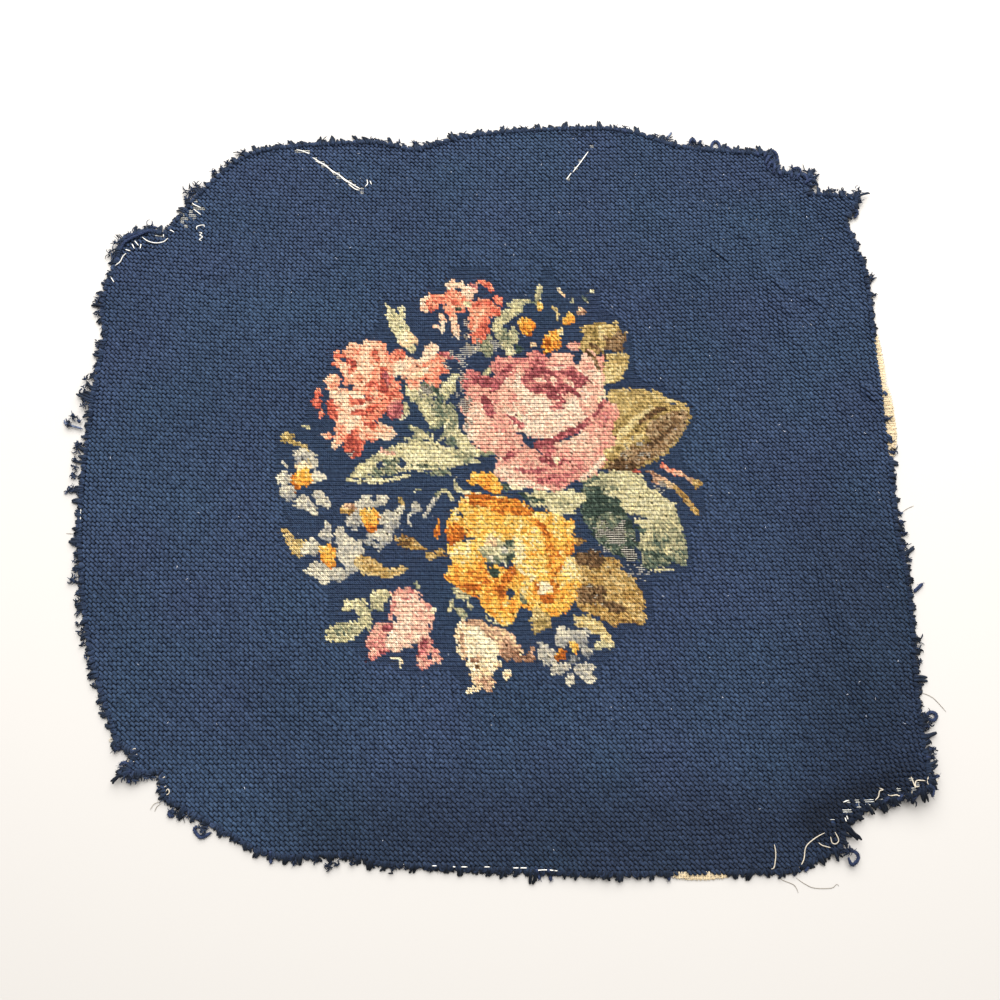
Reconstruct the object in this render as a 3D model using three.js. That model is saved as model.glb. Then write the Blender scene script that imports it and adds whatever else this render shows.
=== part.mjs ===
// Needlepoint canvas panel, cut loose from a chair seat: one stitched canvas lying flat, with a frayed rim of
// wool ends all round and short fringes of bare canvas thread on its right and bottom edges.
// Millimetres, +Z up, +X to the panel's right and +Y to its top. It rests on z = 0.

import * as THREE from "three";

// Stitches and cloth
const STITCH_PITCH = 2.54;
const CLOTH_THICKNESS = 2.4;
const OUTLINE_STEP = 6.4;

// Rim
const RIM_GAP = 0.3;
const RIM_END_CLEARANCE = 0.4;
const LOCK_CLEARANCE = 0.5;
const BEND_WIDTH_SHARE = 0.9;
const BEND_LEAN_SHARE = 0.3;
const TIP_WIDTH_SHARE = 0.55;
const TIP_HEIGHT_SHARE = 0.6;
const TAPER_REACH = 5;
const LEAST_WIDTH_SHARE = 0.75;
const LEAST_CLEAR_SHARE = 0.9;
const WOOL = { backing: 1.1, pitch: 3 * STITCH_PITCH, width: 3.6, height: 1.8, lean: 1.9, bulges: false };
const THREAD = { backing: 0.8, pitch: STITCH_PITCH, width: 1.0, height: 0.9, lean: 0.8, bulges: true };

// The stitched edge, clockwise from above, as runs that meet in corners. A smooth run is a curve through its
// points and a torn one goes straight from point to point. Each starts where the run before it ends.
const EDGE_RUNS = [
  {
    name: "top edge",
    smooth: true,
    points: [
      [-193, 194],
      [-164, 223],
      [-134, 231],
      [-83, 234],
      [-54, 229],
      [-23, 238],
      [22, 243],
      [78, 243],
      [116, 231],
      [171, 226],
    ],
  },
  {
    name: "top right corner, torn",
    smooth: false,
    points: [
      [177, 213],
      [199, 210],
      [193, 198],
      [225, 194],
      [216, 178],
    ],
  },
  {
    name: "right edge",
    smooth: true,
    points: [
      [226, 143],
      [228, 99],
      [231, 32],
      [231, -17],
      [235, -52],
      [234, -112],
      [235, -148],
      [234, -163],
    ],
  },
  {
    name: "bottom right corner, cut away",
    smooth: false,
    points: [
      [200, -173],
      [187, -183],
      [184, -194],
      [158, -206],
    ],
  },
  {
    name: "bottom edge",
    smooth: true,
    points: [
      [108, -207],
      [36, -207],
      [-54, -203],
      [-86, -198],
      [-123, -198],
      [-153, -184],
      [-184, -168],
    ],
  },
  {
    name: "bottom left corner, torn",
    smooth: false,
    points: [
      [-187, -154],
      [-206, -155],
      [-201, -144],
      [-212, -139],
    ],
  },
  {
    name: "left edge",
    smooth: true,
    points: [
      [-232, -88],
      [-243, -33],
      [-246, 10],
      [-243, 77],
      [-241, 102],
      [-244, 125],
      [-238, 152],
      [-233, 167],
    ],
  },
  {
    name: "top left corner, cut away",
    smooth: false,
    points: [
      [-219, 172],
      [-209, 170],
      [-193, 194],
    ],
  },
];

// Rings of the cloth from its edge to its middle: the share of the way out, and how many edge points one ring
// point stands for.
const RINGS = [
  { share: 1, every: 1 },
  { share: 0.96, every: 1 },
  { share: 0.91, every: 1 },
  { share: 0.85, every: 2 },
  { share: 0.77, every: 2 },
  { share: 0.66, every: 3 },
  { share: 0.5, every: 4 },
  { share: 0.32, every: 6 },
  { share: 0.15, every: 10 },
];

// Where the cloth lifts off the surface: the place of each rise's middle, its half width along a direction
// (degrees from +X) and across it, and its height.
const RISES = [
  { name: "bottom right corner curl", x: 240, y: -172, along: 62, across: 44, turn: 50, height: 6.5 },
  { name: "bottom right cut, curled", x: 196, y: -190, along: 30, across: 24, turn: 35, height: 3.0 },
  { name: "top left corner curl", x: -236, y: 182, along: 40, across: 30, turn: -40, height: 3.6 },
  { name: "top right corner curl", x: 226, y: 208, along: 46, across: 34, turn: 45, height: 3.2 },
  { name: "bottom left corner curl", x: -214, y: -160, along: 34, across: 26, turn: 130, height: 2.6 },
  { name: "right edge pucker", x: 238, y: 72, along: 26, across: 20, turn: 20, height: 2.2 },
  { name: "right side crease, upper", x: 172, y: 120, along: 70, across: 13, turn: -72, height: 1.6 },
  { name: "right side crease, lower", x: 196, y: -70, along: 66, across: 14, turn: -80, height: 1.5 },
  { name: "bottom edge wave", x: 60, y: -214, along: 50, across: 18, turn: 0, height: 1.4 },
  { name: "top edge wave", x: -60, y: 240, along: 44, across: 18, turn: 0, height: 1.3 },
  { name: "left edge wave", x: -250, y: 60, along: 46, across: 18, turn: 90, height: 1.5 },
];

// Stretches of the rim between two bearings from the panel's middle, in degrees, going clockwise. Reach is
// how far the locks stand out from the cloth's edge, from the shortest to the longest.
const STRETCHES = [
  { name: "fray_top_left", of: "wool", from: 131, to: 93, reach: [2.4, 5.4] },
  { name: "fray_top_right", of: "wool", from: 93, to: 55.5, reach: [2.2, 5.0] },
  { name: "fray_corner_top_right", of: "wool", from: 55.5, to: 37, reach: [3.0, 5.6] },
  { name: "fray_right_upper", of: "wool", from: 37, to: 20, reach: [1.8, 3.6] },
  { name: "thread_fringe_right_upper", of: "thread", from: 20, to: 12.5, reach: [2.2, 4.0] },
  { name: "thread_fringe_right_lower", of: "thread", from: 12.5, to: 2, reach: [2.4, 6.4] },
  { name: "fray_right_lower", of: "wool", from: 2, to: -30.5, reach: [1.9, 4.4] },
  { name: "fray_corner_bottom_right", of: "wool", from: -30.5, to: -51, reach: [3.0, 5.8] },
  { name: "fray_bottom_right", of: "wool", from: -51, to: -60, reach: [2.0, 4.0] },
  { name: "thread_fringe_bottom", of: "thread", from: -60, to: -66, reach: [2.2, 3.8] },
  { name: "fray_bottom_middle", of: "wool", from: -66, to: -105, reach: [1.9, 4.0] },
  { name: "fray_bottom_left", of: "wool", from: -105, to: -137.5, reach: [2.2, 4.6] },
  { name: "fray_corner_bottom_left", of: "wool", from: -137.5, to: -149, reach: [3.0, 5.2] },
  { name: "fray_left_lower", of: "wool", from: -149, to: -180, reach: [2.2, 5.0] },
  { name: "fray_left_upper", of: "wool", from: 180, to: 131, reach: [2.2, 5.2] },
];

// Wool locks that stand out past the rest: bearing, reach, how far the tip leans clockwise, and width.
const LONG_LOCKS = [
  { bearing: 179, reach: 7.4, lean: 1, width: 2.4 },
  { bearing: 170.4, reach: 11.6, lean: 4, width: 2.6 },
  { bearing: 156, reach: 6.5, lean: 2, width: 2.6 },
  { bearing: 115.2, reach: 5.4, lean: 1, width: 3.4 },
  { bearing: 95.4, reach: 5.6, lean: 1, width: 3.4 },
  { bearing: 72.5, reach: 5.6, lean: -1, width: 3.4 },
  { bearing: 41.4, reach: 5.8, lean: 1, width: 3.4 },
  { bearing: -11.7, reach: 7.5, lean: -3, width: 2.0 },
  { bearing: -27.1, reach: 8.5, lean: 0, width: 3.4 },
  { bearing: -33, reach: 7.6, lean: -1, width: 3.6 },
  { bearing: -45.6, reach: 9.5, lean: 4, width: 2.8 },
  { bearing: -82.7, reach: 5.8, lean: 0, width: 4.0 },
  { bearing: -130.6, reach: 6.0, lean: 0, width: 3.4 },
  { bearing: -169, reach: 6.0, lean: 1, width: 2.4 },
];

// Colours and finish
const FINISHES = {
  wool: { color: "#2a3a59", roughness: 0.95, metalness: 0 },
  thread: { color: "#dcc6a0", roughness: 0.9, metalness: 0 },
};

const GOLDEN_SHARE = 0.6180339887;

/** An even, repeatable spread of numbers from 0 to 1. */
function spread(n) {
  return (n * GOLDEN_SHARE) % 1;
}

/** Height of the cloth's underside above the surface at a place. */
function liftAt(x, y) {
  let lift = 0;
  for (const rise of RISES) {
    const turn = THREE.MathUtils.degToRad(rise.turn);
    const dx = x - rise.x;
    const dy = y - rise.y;
    const along = (dx * Math.cos(turn) + dy * Math.sin(turn)) / rise.along;
    const across = (dy * Math.cos(turn) - dx * Math.sin(turn)) / rise.across;
    const away = Math.hypot(along, across);
    if (away < 1) {
      lift += rise.height * Math.cos((away * Math.PI) / 2) ** 2;
    }
  }
  return lift;
}

/** The stitched edge as points about a step apart, clockwise, with every corner kept. */
function edgePoints() {
  const points = [];
  let start = null;
  for (const run of [EDGE_RUNS[EDGE_RUNS.length - 1], ...EDGE_RUNS]) {
    const through = run.points.map(([x, y]) => new THREE.Vector2(x, y));
    if (start) {
      through.unshift(start);
      const path = run.smooth ? new THREE.SplineCurve(through) : new THREE.Path(through);
      const pieces = run.smooth ? [path] : path.curves;
      for (const piece of pieces) {
        const steps = Math.max(1, Math.round(piece.getLength() / OUTLINE_STEP));
        points.push(...piece.getSpacedPoints(steps).slice(0, -1));
      }
    }
    start = through[through.length - 1];
  }
  return points;
}

/** A walk round the cloth's edge, which gives the place at any distance along it and out from it. */
class EdgeWalk {
  constructor(points) {
    this.points = points;
    this.lengths = [0];
    points.forEach((point, i) => {
      this.lengths.push(this.lengths[i] + point.distanceTo(this.pointAfter(i)));
    });
    this.total = this.lengths[points.length];
    const normals = points.map((point, i) => {
      const along = this.pointAfter(i).clone().sub(point).normalize();
      return new THREE.Vector2(-along.y, along.x);
    });
    this.mitres = normals.map((normal, i) => {
      const before = normals[(i + points.length - 1) % points.length];
      return normal.clone().add(before).divideScalar(1 + normal.dot(before));
    });
  }

  pointAfter(i) {
    return this.points[(i + 1) % this.points.length];
  }

  /** The place `out` millimetres outside the edge, `at` millimetres along it. */
  place(at, out) {
    const wrapped = THREE.MathUtils.euclideanModulo(at, this.total);
    const next = this.lengths.findIndex((length) => length > wrapped);
    const i = next - 1;
    const share = (wrapped - this.lengths[i]) / (this.lengths[next] - this.lengths[i]);
    const mitre = this.mitres[i].clone().lerp(this.mitres[next % this.points.length], share);
    return this.points[i].clone().lerp(this.pointAfter(i), share).addScaledVector(mitre, out);
  }

  /** How far along the edge a bearing from the panel's middle is met. */
  distanceTo(bearing) {
    const offBearing = (at) => {
      const turned = this.place(at, 0).rotateAround(new THREE.Vector2(), -THREE.MathUtils.degToRad(bearing));
      return Math.abs(Math.atan2(turned.y, turned.x));
    };
    let best = 0;
    for (let at = 0; at < this.total; at += 1) {
      if (offBearing(at) < offBearing(best)) {
        best = at;
      }
    }
    return best;
  }

  /** The distances at which the edge's own points lie between two distances. */
  pointsBetween(begin, end) {
    return [0, this.total]
      .flatMap((turn) => this.lengths.slice(0, -1).map((length) => length + turn))
      .filter((at) => at > begin && at < end);
  }

  /** How far a place is from the edge. */
  awayFrom(place) {
    let least = Infinity;
    this.points.forEach((point, i) => {
      const side = this.pointAfter(i).clone().sub(point);
      const share = THREE.MathUtils.clamp(place.clone().sub(point).dot(side) / side.lengthSq(), 0, 1);
      least = Math.min(least, point.clone().addScaledVector(side, share).distanceTo(place));
    });
    return least;
  }
}

/** A closed body from its vertices and triangles. */
function solid(vertices, triangles) {
  const geometry = new THREE.BufferGeometry();
  geometry.setAttribute("position", new THREE.Float32BufferAttribute(vertices, 3));
  geometry.setIndex(triangles);
  geometry.computeVertexNormals();
  return geometry;
}

/** The triangles between a ring and the next one in, whose points stand for `every` edge points each. */
function bandTriangles(outer, inner, edgeCount) {
  const triangles = [];
  const nextTurn = (ring, i) => Math.min((i + 1) * ring.every, edgeCount);
  let i = 0;
  let j = 0;
  while (i < outer.ids.length || j < inner.ids.length) {
    const a = outer.ids[i % outer.ids.length];
    const b = inner.ids[j % inner.ids.length];
    const outerIsNext = nextTurn(outer, i) <= nextTurn(inner, j);
    if (j >= inner.ids.length || (i < outer.ids.length && outerIsNext)) {
      i += 1;
      triangles.push([a, outer.ids[i % outer.ids.length], b]);
    } else {
      j += 1;
      triangles.push([a, inner.ids[j % inner.ids.length], b]);
    }
  }
  return triangles;
}

/** The cloth: two faces on the same rings, a sheet's thickness apart, closed round the edge. */
function clothGeometry(edge) {
  const vertices = [];
  const triangles = [];
  const rims = [];
  for (const height of [CLOTH_THICKNESS, 0]) {
    const addVertex = (x, y) => {
      vertices.push(x, y, liftAt(x, y) + height);
      return vertices.length / 3 - 1;
    };
    const rings = RINGS.map(({ share, every }) => {
      const kept = edge.filter((_, i) => i % every === 0);
      return { every, ids: kept.map((point) => addVertex(point.x * share, point.y * share)) };
    });
    const middle = addVertex(0, 0);
    const last = rings[rings.length - 1].ids;
    const face = last.map((id, i) => [id, last[(i + 1) % last.length], middle]);
    for (let r = 0; r + 1 < rings.length; r += 1) {
      face.push(...bandTriangles(rings[r], rings[r + 1], edge.length));
    }
    for (const [a, b, c] of face) {
      triangles.push(...(height > 0 ? [a, c, b] : [a, b, c]));
    }
    rims.push(rings[0].ids);
  }
  const [top, bottom] = rims;
  top.forEach((id, i) => {
    const next = (i + 1) % top.length;
    triangles.push(id, top[next], bottom[i], top[next], bottom[next], bottom[i]);
  });
  return solid(vertices, triangles);
}

/** The locks of a stretch: where each stands on the edge, its reach, its lean and half its width. */
function locksOf(walk, stretch, size, begin, end) {
  const long = LONG_LOCKS.filter((lock) => lock.bearing < stretch.from && lock.bearing > stretch.to);
  const longPlaces = long.map((lock) => {
    const at = walk.distanceTo(lock.bearing);
    return at < begin ? at + walk.total : at;
  });
  const count = Math.floor((end - begin) / size.pitch);
  const pitch = (end - begin) / count;
  const [least, most] = stretch.reach;
  const locks = [];
  for (let n = 0; n < count; n += 1) {
    const at = begin + pitch * (n + 0.5);
    const nth = n + stretch.name.length;
    const share = size.bulges ? Math.sin((Math.PI * (n + 0.5)) / count) : spread(nth);
    const here = longPlaces.findIndex((place) => Math.abs(place - at) <= pitch / 2);
    const lock = long[here] ?? {
      reach: least + (most - least) * share,
      lean: (2 * spread(3 * nth) - 1) * size.lean,
      width: size.width * THREE.MathUtils.lerp(LEAST_WIDTH_SHARE, 1, spread(2 * nth)),
    };
    const tip = walk.place(at + lock.lean, lock.reach);
    const standsClear = walk.awayFrom(tip) > lock.reach * LEAST_CLEAR_SHARE;
    const apart = locks.every((other) => other.tip.distanceTo(tip) > lock.width + LOCK_CLEARANCE);
    if (standsClear && apart) {
      locks.push({ at, tip, reach: lock.reach, lean: lock.lean, half: lock.width / 2 });
    }
  }
  return locks;
}

/** A stretch of rim: a narrow backing along the edge with its locks fused to it, as one extruded comb. */
function combGeometry(walk, stretch, size) {
  const begin = walk.distanceTo(stretch.from) + RIM_END_CLEARANCE;
  const stop = walk.distanceTo(stretch.to) - RIM_END_CLEARANCE;
  const end = stop < begin ? stop + walk.total : stop;
  const locks = locksOf(walk, stretch, size, begin, end);
  const root = RIM_GAP + size.backing;
  const turns = walk.pointsBetween(begin, end);
  const outer = [walk.place(begin, root)];
  let from = begin;
  for (const { at, reach, lean, half } of [...locks, { at: Infinity }]) {
    const bare = turns.filter((turn) => turn > from && turn < (half ? at - half : end));
    outer.push(...bare.map((turn) => walk.place(turn, root)));
    if (half) {
      const bend = (root + reach) / 2;
      const middle = at + lean * BEND_LEAN_SHARE;
      outer.push(
        walk.place(at - half, root),
        walk.place(middle - half * BEND_WIDTH_SHARE, bend),
        walk.place(at + lean - half * TIP_WIDTH_SHARE, reach),
        walk.place(at + lean + half * TIP_WIDTH_SHARE, reach),
        walk.place(middle + half * BEND_WIDTH_SHARE, bend),
        walk.place(at + half, root),
      );
      from = at + half;
    }
  }
  outer.push(walk.place(end, root));
  const inner = [end, ...turns.toReversed(), begin].map((turn) => walk.place(turn, RIM_GAP));
  const geometry = new THREE.ExtrudeGeometry(new THREE.Shape([...outer, ...inner]), {
    depth: size.height,
    bevelEnabled: false,
  });
  const position = geometry.attributes.position;
  for (let i = 0; i < position.count; i += 1) {
    const x = position.getX(i);
    const y = position.getY(i);
    const out = Math.min(1, walk.awayFrom(new THREE.Vector2(x, y)) / TAPER_REACH);
    const height = position.getZ(i) * (1 - (1 - TIP_HEIGHT_SHARE) * out);
    position.setZ(i, height + liftAt(x, y));
  }
  return geometry;
}

/** A named piece in its finish. */
function piece(name, geometry, finish) {
  const mesh = new THREE.Mesh(geometry, new THREE.MeshStandardMaterial(FINISHES[finish]));
  mesh.name = name;
  return mesh;
}

const edge = edgePoints();
const walk = new EdgeWalk(edge);
const panel = new THREE.Group();
panel.name = "needlepoint_panel";
panel.add(piece("canvas_panel", clothGeometry(edge), "wool"));
for (const stretch of STRETCHES) {
  const size = stretch.of === "wool" ? WOOL : THREAD;
  panel.add(piece(stretch.name, combGeometry(walk, stretch, size), stretch.of));
}

// The origin is under the middle of the whole piece, on the surface that it lies on.
const middle = new THREE.Box3().setFromObject(panel).getCenter(new THREE.Vector3());
panel.position.set(-middle.x, -middle.y, 0);

export default panel;
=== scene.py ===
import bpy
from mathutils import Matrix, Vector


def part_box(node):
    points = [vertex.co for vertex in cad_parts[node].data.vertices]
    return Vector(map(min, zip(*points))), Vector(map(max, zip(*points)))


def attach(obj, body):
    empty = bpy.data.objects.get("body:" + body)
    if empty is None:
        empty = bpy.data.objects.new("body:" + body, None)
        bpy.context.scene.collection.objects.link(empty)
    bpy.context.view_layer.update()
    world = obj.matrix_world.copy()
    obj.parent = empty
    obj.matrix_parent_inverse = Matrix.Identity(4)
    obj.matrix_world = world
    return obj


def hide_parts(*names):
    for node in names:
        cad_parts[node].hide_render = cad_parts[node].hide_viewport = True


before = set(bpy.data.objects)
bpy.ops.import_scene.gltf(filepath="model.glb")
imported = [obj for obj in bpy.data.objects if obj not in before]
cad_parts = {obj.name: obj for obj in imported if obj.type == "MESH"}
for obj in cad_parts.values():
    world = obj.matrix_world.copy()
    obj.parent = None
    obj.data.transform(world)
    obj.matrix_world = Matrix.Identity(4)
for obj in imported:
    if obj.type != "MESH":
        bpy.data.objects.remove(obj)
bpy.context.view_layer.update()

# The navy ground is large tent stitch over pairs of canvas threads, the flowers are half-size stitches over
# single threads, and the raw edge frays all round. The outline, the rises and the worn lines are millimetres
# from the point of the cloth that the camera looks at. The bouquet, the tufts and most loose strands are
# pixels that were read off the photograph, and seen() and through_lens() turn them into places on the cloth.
"""A needlepoint canvas panel cut loose from a chair seat, lying flat on a pale table.

The navy ground is large tent stitch over pairs of canvas threads, the flowers are half-size stitches over
single threads, and the raw edge frays all round. The outline, the rises and the worn lines are millimetres
from the point of the cloth that the camera looks at. The bouquet, the tufts and most loose strands are pixels
that were read by eye off the photograph, and seen() and through_lens() turn them into places on the cloth.
What is built is in metres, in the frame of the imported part.
"""

import logging
import math
from collections.abc import Sequence
from dataclasses import dataclass, field
from enum import Enum

import bpy
import numpy as np

MM = 0.001
GOLDEN_SHARE = 0.6180339887
log = logging.getLogger("needlepoint")

Array = np.ndarray
Place = tuple[float, float]

# The canvas: one large stitch covers a pair of threads each way.
STITCH = 2.54
THREAD = STITCH / 2
CLOTH_RINGS = 36

# The photograph's camera, in millimetres, and its picture, in pixels.
CAMERA_LENS = 36.0
CAMERA_SENSOR = 36.0
CAMERA_TILT = math.radians(13)
CAMERA_HEIGHT = 572.0
PICTURE_SIDE = 1000
PICTURE_MIDDLE = 500

# What a pixel measures on the cloth near its middle: in all, across, up, and the growth towards the top.
PIXEL = 0.597
PIXEL_ACROSS = 0.587
PIXEL_UP = 0.603
PIXEL_GROWTH = 0.00014

# Colours of the wool and the canvas where no enum or finish holds them.
NAVY_END = ("#141a24", "#2c3545")
NAVY_ROOT = ("#222d42", "#34435c")
NAVY_LOOP = ("#1f293c", "#344058")
NAVY_TUFT = ("#161c27", "#36425a")
# Navy of the wool's fluff on the canvas under the ground, kept dark as painted shade between the stitches.
NAVY_FLUFF_AND_HOLLOW_SHADE = "#2a3750"
FRINGE_THREAD = "#ead6b2"
CROSSING_THREAD = "#dfc9a2"
FRINGE_FRIZZ = "#d8c49a"
FINE_CANVAS = "#ece3cf"
BARE_CANVAS = "#f6f4e8"
LINT_COLOUR = "#c9ccd6"


def linear(code: str) -> Array:
    """A colour code such as #2a3a59 as linear red, green and blue."""
    values = np.array([int(code[i : i + 2], 16) for i in (1, 3, 5)]) / 255
    return np.where(values <= 0.04045, values / 12.92, ((values + 0.055) / 1.055) ** 2.4)


def smooth(value: Array) -> Array:
    """Values from 0 to 1 eased at both ends."""
    held = np.clip(value, 0, 1)
    return held * held * (3 - 2 * held)


def spread(n: float) -> float:
    """An even, repeatable spread of numbers from 0 to 1."""
    return (n * GOLDEN_SHARE) % 1


def halved(size: float) -> float:
    """A size to the nearest half millimetre, which is finer than a reading."""
    return round(size * 2) / 2


def real(pixels: float) -> float:
    """A size that was read in pixels, in millimetres."""
    return halved(pixels * PIXEL)


def seen(x: float, y: float) -> Place:
    """The place on the cloth of a pixel, by a short formula that holds best near the picture's middle.

    Args:
        x: Pixels from the picture's left side.
        y: Pixels from its top.

    Returns:
        Millimetres across and up from the point that the camera looks at.
    """
    above = PICTURE_MIDDLE - y
    across = (x - PICTURE_MIDDLE) * (PIXEL_ACROSS + PIXEL_GROWTH * above)
    return halved(across), halved(above * PIXEL_UP + above * above * PIXEL_GROWTH)


def through_lens(x: float, y: float) -> Place:
    """The place on the cloth of a pixel, along its ray through the photograph's camera.

    Args:
        x: Pixels from the picture's left side.
        y: Pixels from its top.

    Returns:
        Millimetres across and up from the point that the camera looks at.
    """
    focal = PICTURE_SIDE * CAMERA_LENS / CAMERA_SENSOR
    right = (x - PICTURE_MIDDLE) / focal
    above = (PICTURE_MIDDLE - y) / focal
    far = CAMERA_HEIGHT / (math.cos(CAMERA_TILT) - above * math.sin(CAMERA_TILT))
    up = (above * math.cos(CAMERA_TILT) + math.sin(CAMERA_TILT)) * far
    return halved(right * far), halved(up - CAMERA_HEIGHT * math.tan(CAMERA_TILT))


class Drift:
    """A smooth, repeatable unevenness over the cloth."""

    SIZE = 97

    def __init__(self, seed: int, cell: float) -> None:
        """Makes the unevenness.

        Args:
            seed: Which unevenness it is.
            cell: How far apart, in millimetres, its ups and downs are.
        """
        self.cell = cell
        self.table = np.random.default_rng(seed).uniform(-1, 1, (self.SIZE, self.SIZE))

    def at(self, x: Array, y: Array) -> Array:
        """The unevenness, from -1 to 1, at places in millimetres."""
        u = np.asarray(x, float) / self.cell + 10 * self.SIZE
        v = np.asarray(y, float) / self.cell + 10 * self.SIZE
        i = np.floor(u).astype(int)
        j = np.floor(v).astype(int)
        a = smooth(u - i)
        b = smooth(v - j)
        size = self.SIZE
        near = self.table[j % size, i % size] * (1 - a) + self.table[j % size, (i + 1) % size] * a
        far = self.table[(j + 1) % size, i % size] * (1 - a) + self.table[(j + 1) % size, (i + 1) % size] * a
        return near * (1 - b) + far * b


class Wire:
    """One output of a shader node, with arithmetic that adds Math nodes."""

    def __init__(self, graph: "Graph", socket: bpy.types.NodeSocket) -> None:
        """Wraps a socket of a graph."""
        self.graph = graph
        self.socket = socket

    def _math(self, operation: str, first: "Wire | float", second: "Wire | float") -> "Wire":
        """A Math node on two values."""
        return self.graph.node("ShaderNodeMath", {"operation": operation}, {0: first, 1: second})

    def __add__(self, other: "Wire | float") -> "Wire":
        """Sum."""
        return self._math("ADD", self, other)

    __radd__ = __add__

    def __mul__(self, other: "Wire | float") -> "Wire":
        """Product."""
        return self._math("MULTIPLY", self, other)

    __rmul__ = __mul__

    def bent(self, low: float, high: float, to_low: float = 0.0, to_high: float = 1.0) -> "Wire":
        """The value with low to high mapped smoothly to to_low to to_high."""
        sockets = {"Value": self, "From Min": low, "From Max": high, "To Min": to_low, "To Max": to_high}
        return self.graph.node("ShaderNodeMapRange", {"interpolation_type": "SMOOTHSTEP"}, sockets)


class Graph:
    """The node tree of one material."""

    def __init__(self, name: str) -> None:
        """Starts a material with nothing but its shader and output."""
        self.material = bpy.data.materials.new(name)
        self.material.use_nodes = True
        self.tree = self.material.node_tree
        self.shader = self.tree.nodes["Principled BSDF"]

    def node(self, kind: str, settings: dict, inputs: dict, output: int | str = 0) -> Wire:
        """Adds a node.

        Args:
            kind: The node's type.
            settings: Its own settings, which are set first.
            inputs: A value or a wire for each socket, by name or number.
            output: Which output is returned.

        Returns:
            The output as a wire.
        """
        made = self.tree.nodes.new(kind)
        for key, value in settings.items():
            setattr(made, key, value)
        for key, value in inputs.items():
            self.feed(made.inputs[key], value)
        return Wire(self, made.outputs[output])

    def feed(self, socket: bpy.types.NodeSocket, value: "Wire | float | Sequence[float]") -> None:
        """Links a wire to a socket, or sets its value."""
        if isinstance(value, Wire):
            self.tree.links.new(value.socket, socket)
        else:
            socket.default_value = value

    def dress(self, **inputs: "Wire | float | Sequence[float]") -> bpy.types.Material:
        """Feeds the shader's own sockets, whose names have _ for a space, and returns the material."""
        for key, value in inputs.items():
            self.feed(self.shader.inputs[key.replace("_", " ")], value)
        return self.material

    def place(self) -> Wire:
        """Object coordinates, in metres."""
        return self.node("ShaderNodeTexCoord", {}, {}, "Object")

    def noise(self, scale: float, detail: float = 2.0, rough: float = 0.5) -> Wire:
        """Noise over the piece, from 0 to 1. Scale is how many ups and downs there are in a metre."""
        inputs = {"Vector": self.place(), "Scale": scale, "Detail": detail, "Roughness": rough}
        return self.node("ShaderNodeTexNoise", {}, inputs, "Fac")

    def painted(self, name: str) -> Wire:
        """The colour that each point of the piece carries."""
        return self.node("ShaderNodeAttribute", {"attribute_name": name}, {}, "Color")

    def mix(self, factor: "Wire | float", first: object, second: object, blend: str = "MIX") -> Wire:
        """A mix of two colours."""
        settings = {"data_type": "RGBA", "blend_type": blend}
        return self.node("ShaderNodeMix", settings, {0: factor, 6: first, 7: second}, 2)

    def grey(self, value: Wire) -> Wire:
        """A value as a grey colour."""
        return self.node("ShaderNodeCombineColor", {}, {0: value, 1: value, 2: value})

    def bump(self, height: Wire, distance: float) -> Wire:
        """A normal from a height."""
        inputs = {"Height": height, "Distance": distance, "Strength": 1.0}
        return self.node("ShaderNodeBump", {}, inputs)


@dataclass(frozen=True)
class YarnFinish:
    """Matt yarn whose colour, with its painted shade, each point of the piece carries."""

    name: str
    roughness: float = 0.95
    sheen: float = 0.03
    fleck: float = 0.26
    fibre_depth: float = 0.00025

    FIBRES_PER_METRE = 3800.0
    CLUMPS_PER_METRE = 700.0
    PAINT = "yarn_colour_and_shade"

    def material(self) -> bpy.types.Material:
        """Builds the finish: fibres lighten and darken the yarn and roughen its surface."""
        graph = Graph(self.name)
        fibres = graph.noise(self.FIBRES_PER_METRE, 3.0, 0.6)
        clumps = graph.noise(self.CLUMPS_PER_METRE, 2.0)
        shade = fibres.bent(0.25, 0.75, 1 - self.fleck, 1 + self.fleck)
        shade = shade * clumps.bent(0.3, 0.7, 1 - self.fleck, 1 + self.fleck)
        colour = graph.mix(1.0, graph.painted(self.PAINT), graph.grey(shade), "MULTIPLY")
        return graph.dress(
            Base_Color=colour,
            Roughness=self.roughness,
            Sheen_Weight=self.sheen,
            Sheen_Roughness=0.6,
            Specular_IOR_Level=0.08,
            Normal=graph.bump(fibres + clumps * 0.5, self.fibre_depth),
        )


@dataclass(frozen=True)
class UnderclothFinish:
    """The canvas under the stitches: threads of the weave, dark with the fluff of the wool and with painted
    shade.
    """

    name: str = "canvas_weave"
    thread_pitch: float = THREAD * MM
    weave_depth: float = 0.0003

    def material(self) -> bpy.types.Material:
        """Builds the finish from two crossed waves, one for each set of threads."""
        graph = Graph(self.name)
        place = graph.place()
        axes = [graph.node("ShaderNodeSeparateXYZ", {}, {0: place}, axis) for axis in ("X", "Y")]
        turns = [axis * (2 * math.pi / self.thread_pitch) for axis in axes]
        waves = [graph.node("ShaderNodeMath", {"operation": "SINE"}, {0: turn}) for turn in turns]
        weave = (waves[0] + waves[1]).bent(0.2, 1.6)
        # Painted shade: lighter on the threads and darker in the hollows between them, with a random mottle.
        shade = weave * 0.4 + graph.noise(900.0, 2.0).bent(0.3, 0.7, 0.7, 1.1)
        colour = graph.mix(1.0, graph.painted(YarnFinish.PAINT), graph.grey(shade), "MULTIPLY")
        return graph.dress(
            Base_Color=colour,
            Roughness=0.95,
            Specular_IOR_Level=0.1,
            Normal=graph.bump(weave, self.weave_depth),
        )


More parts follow.
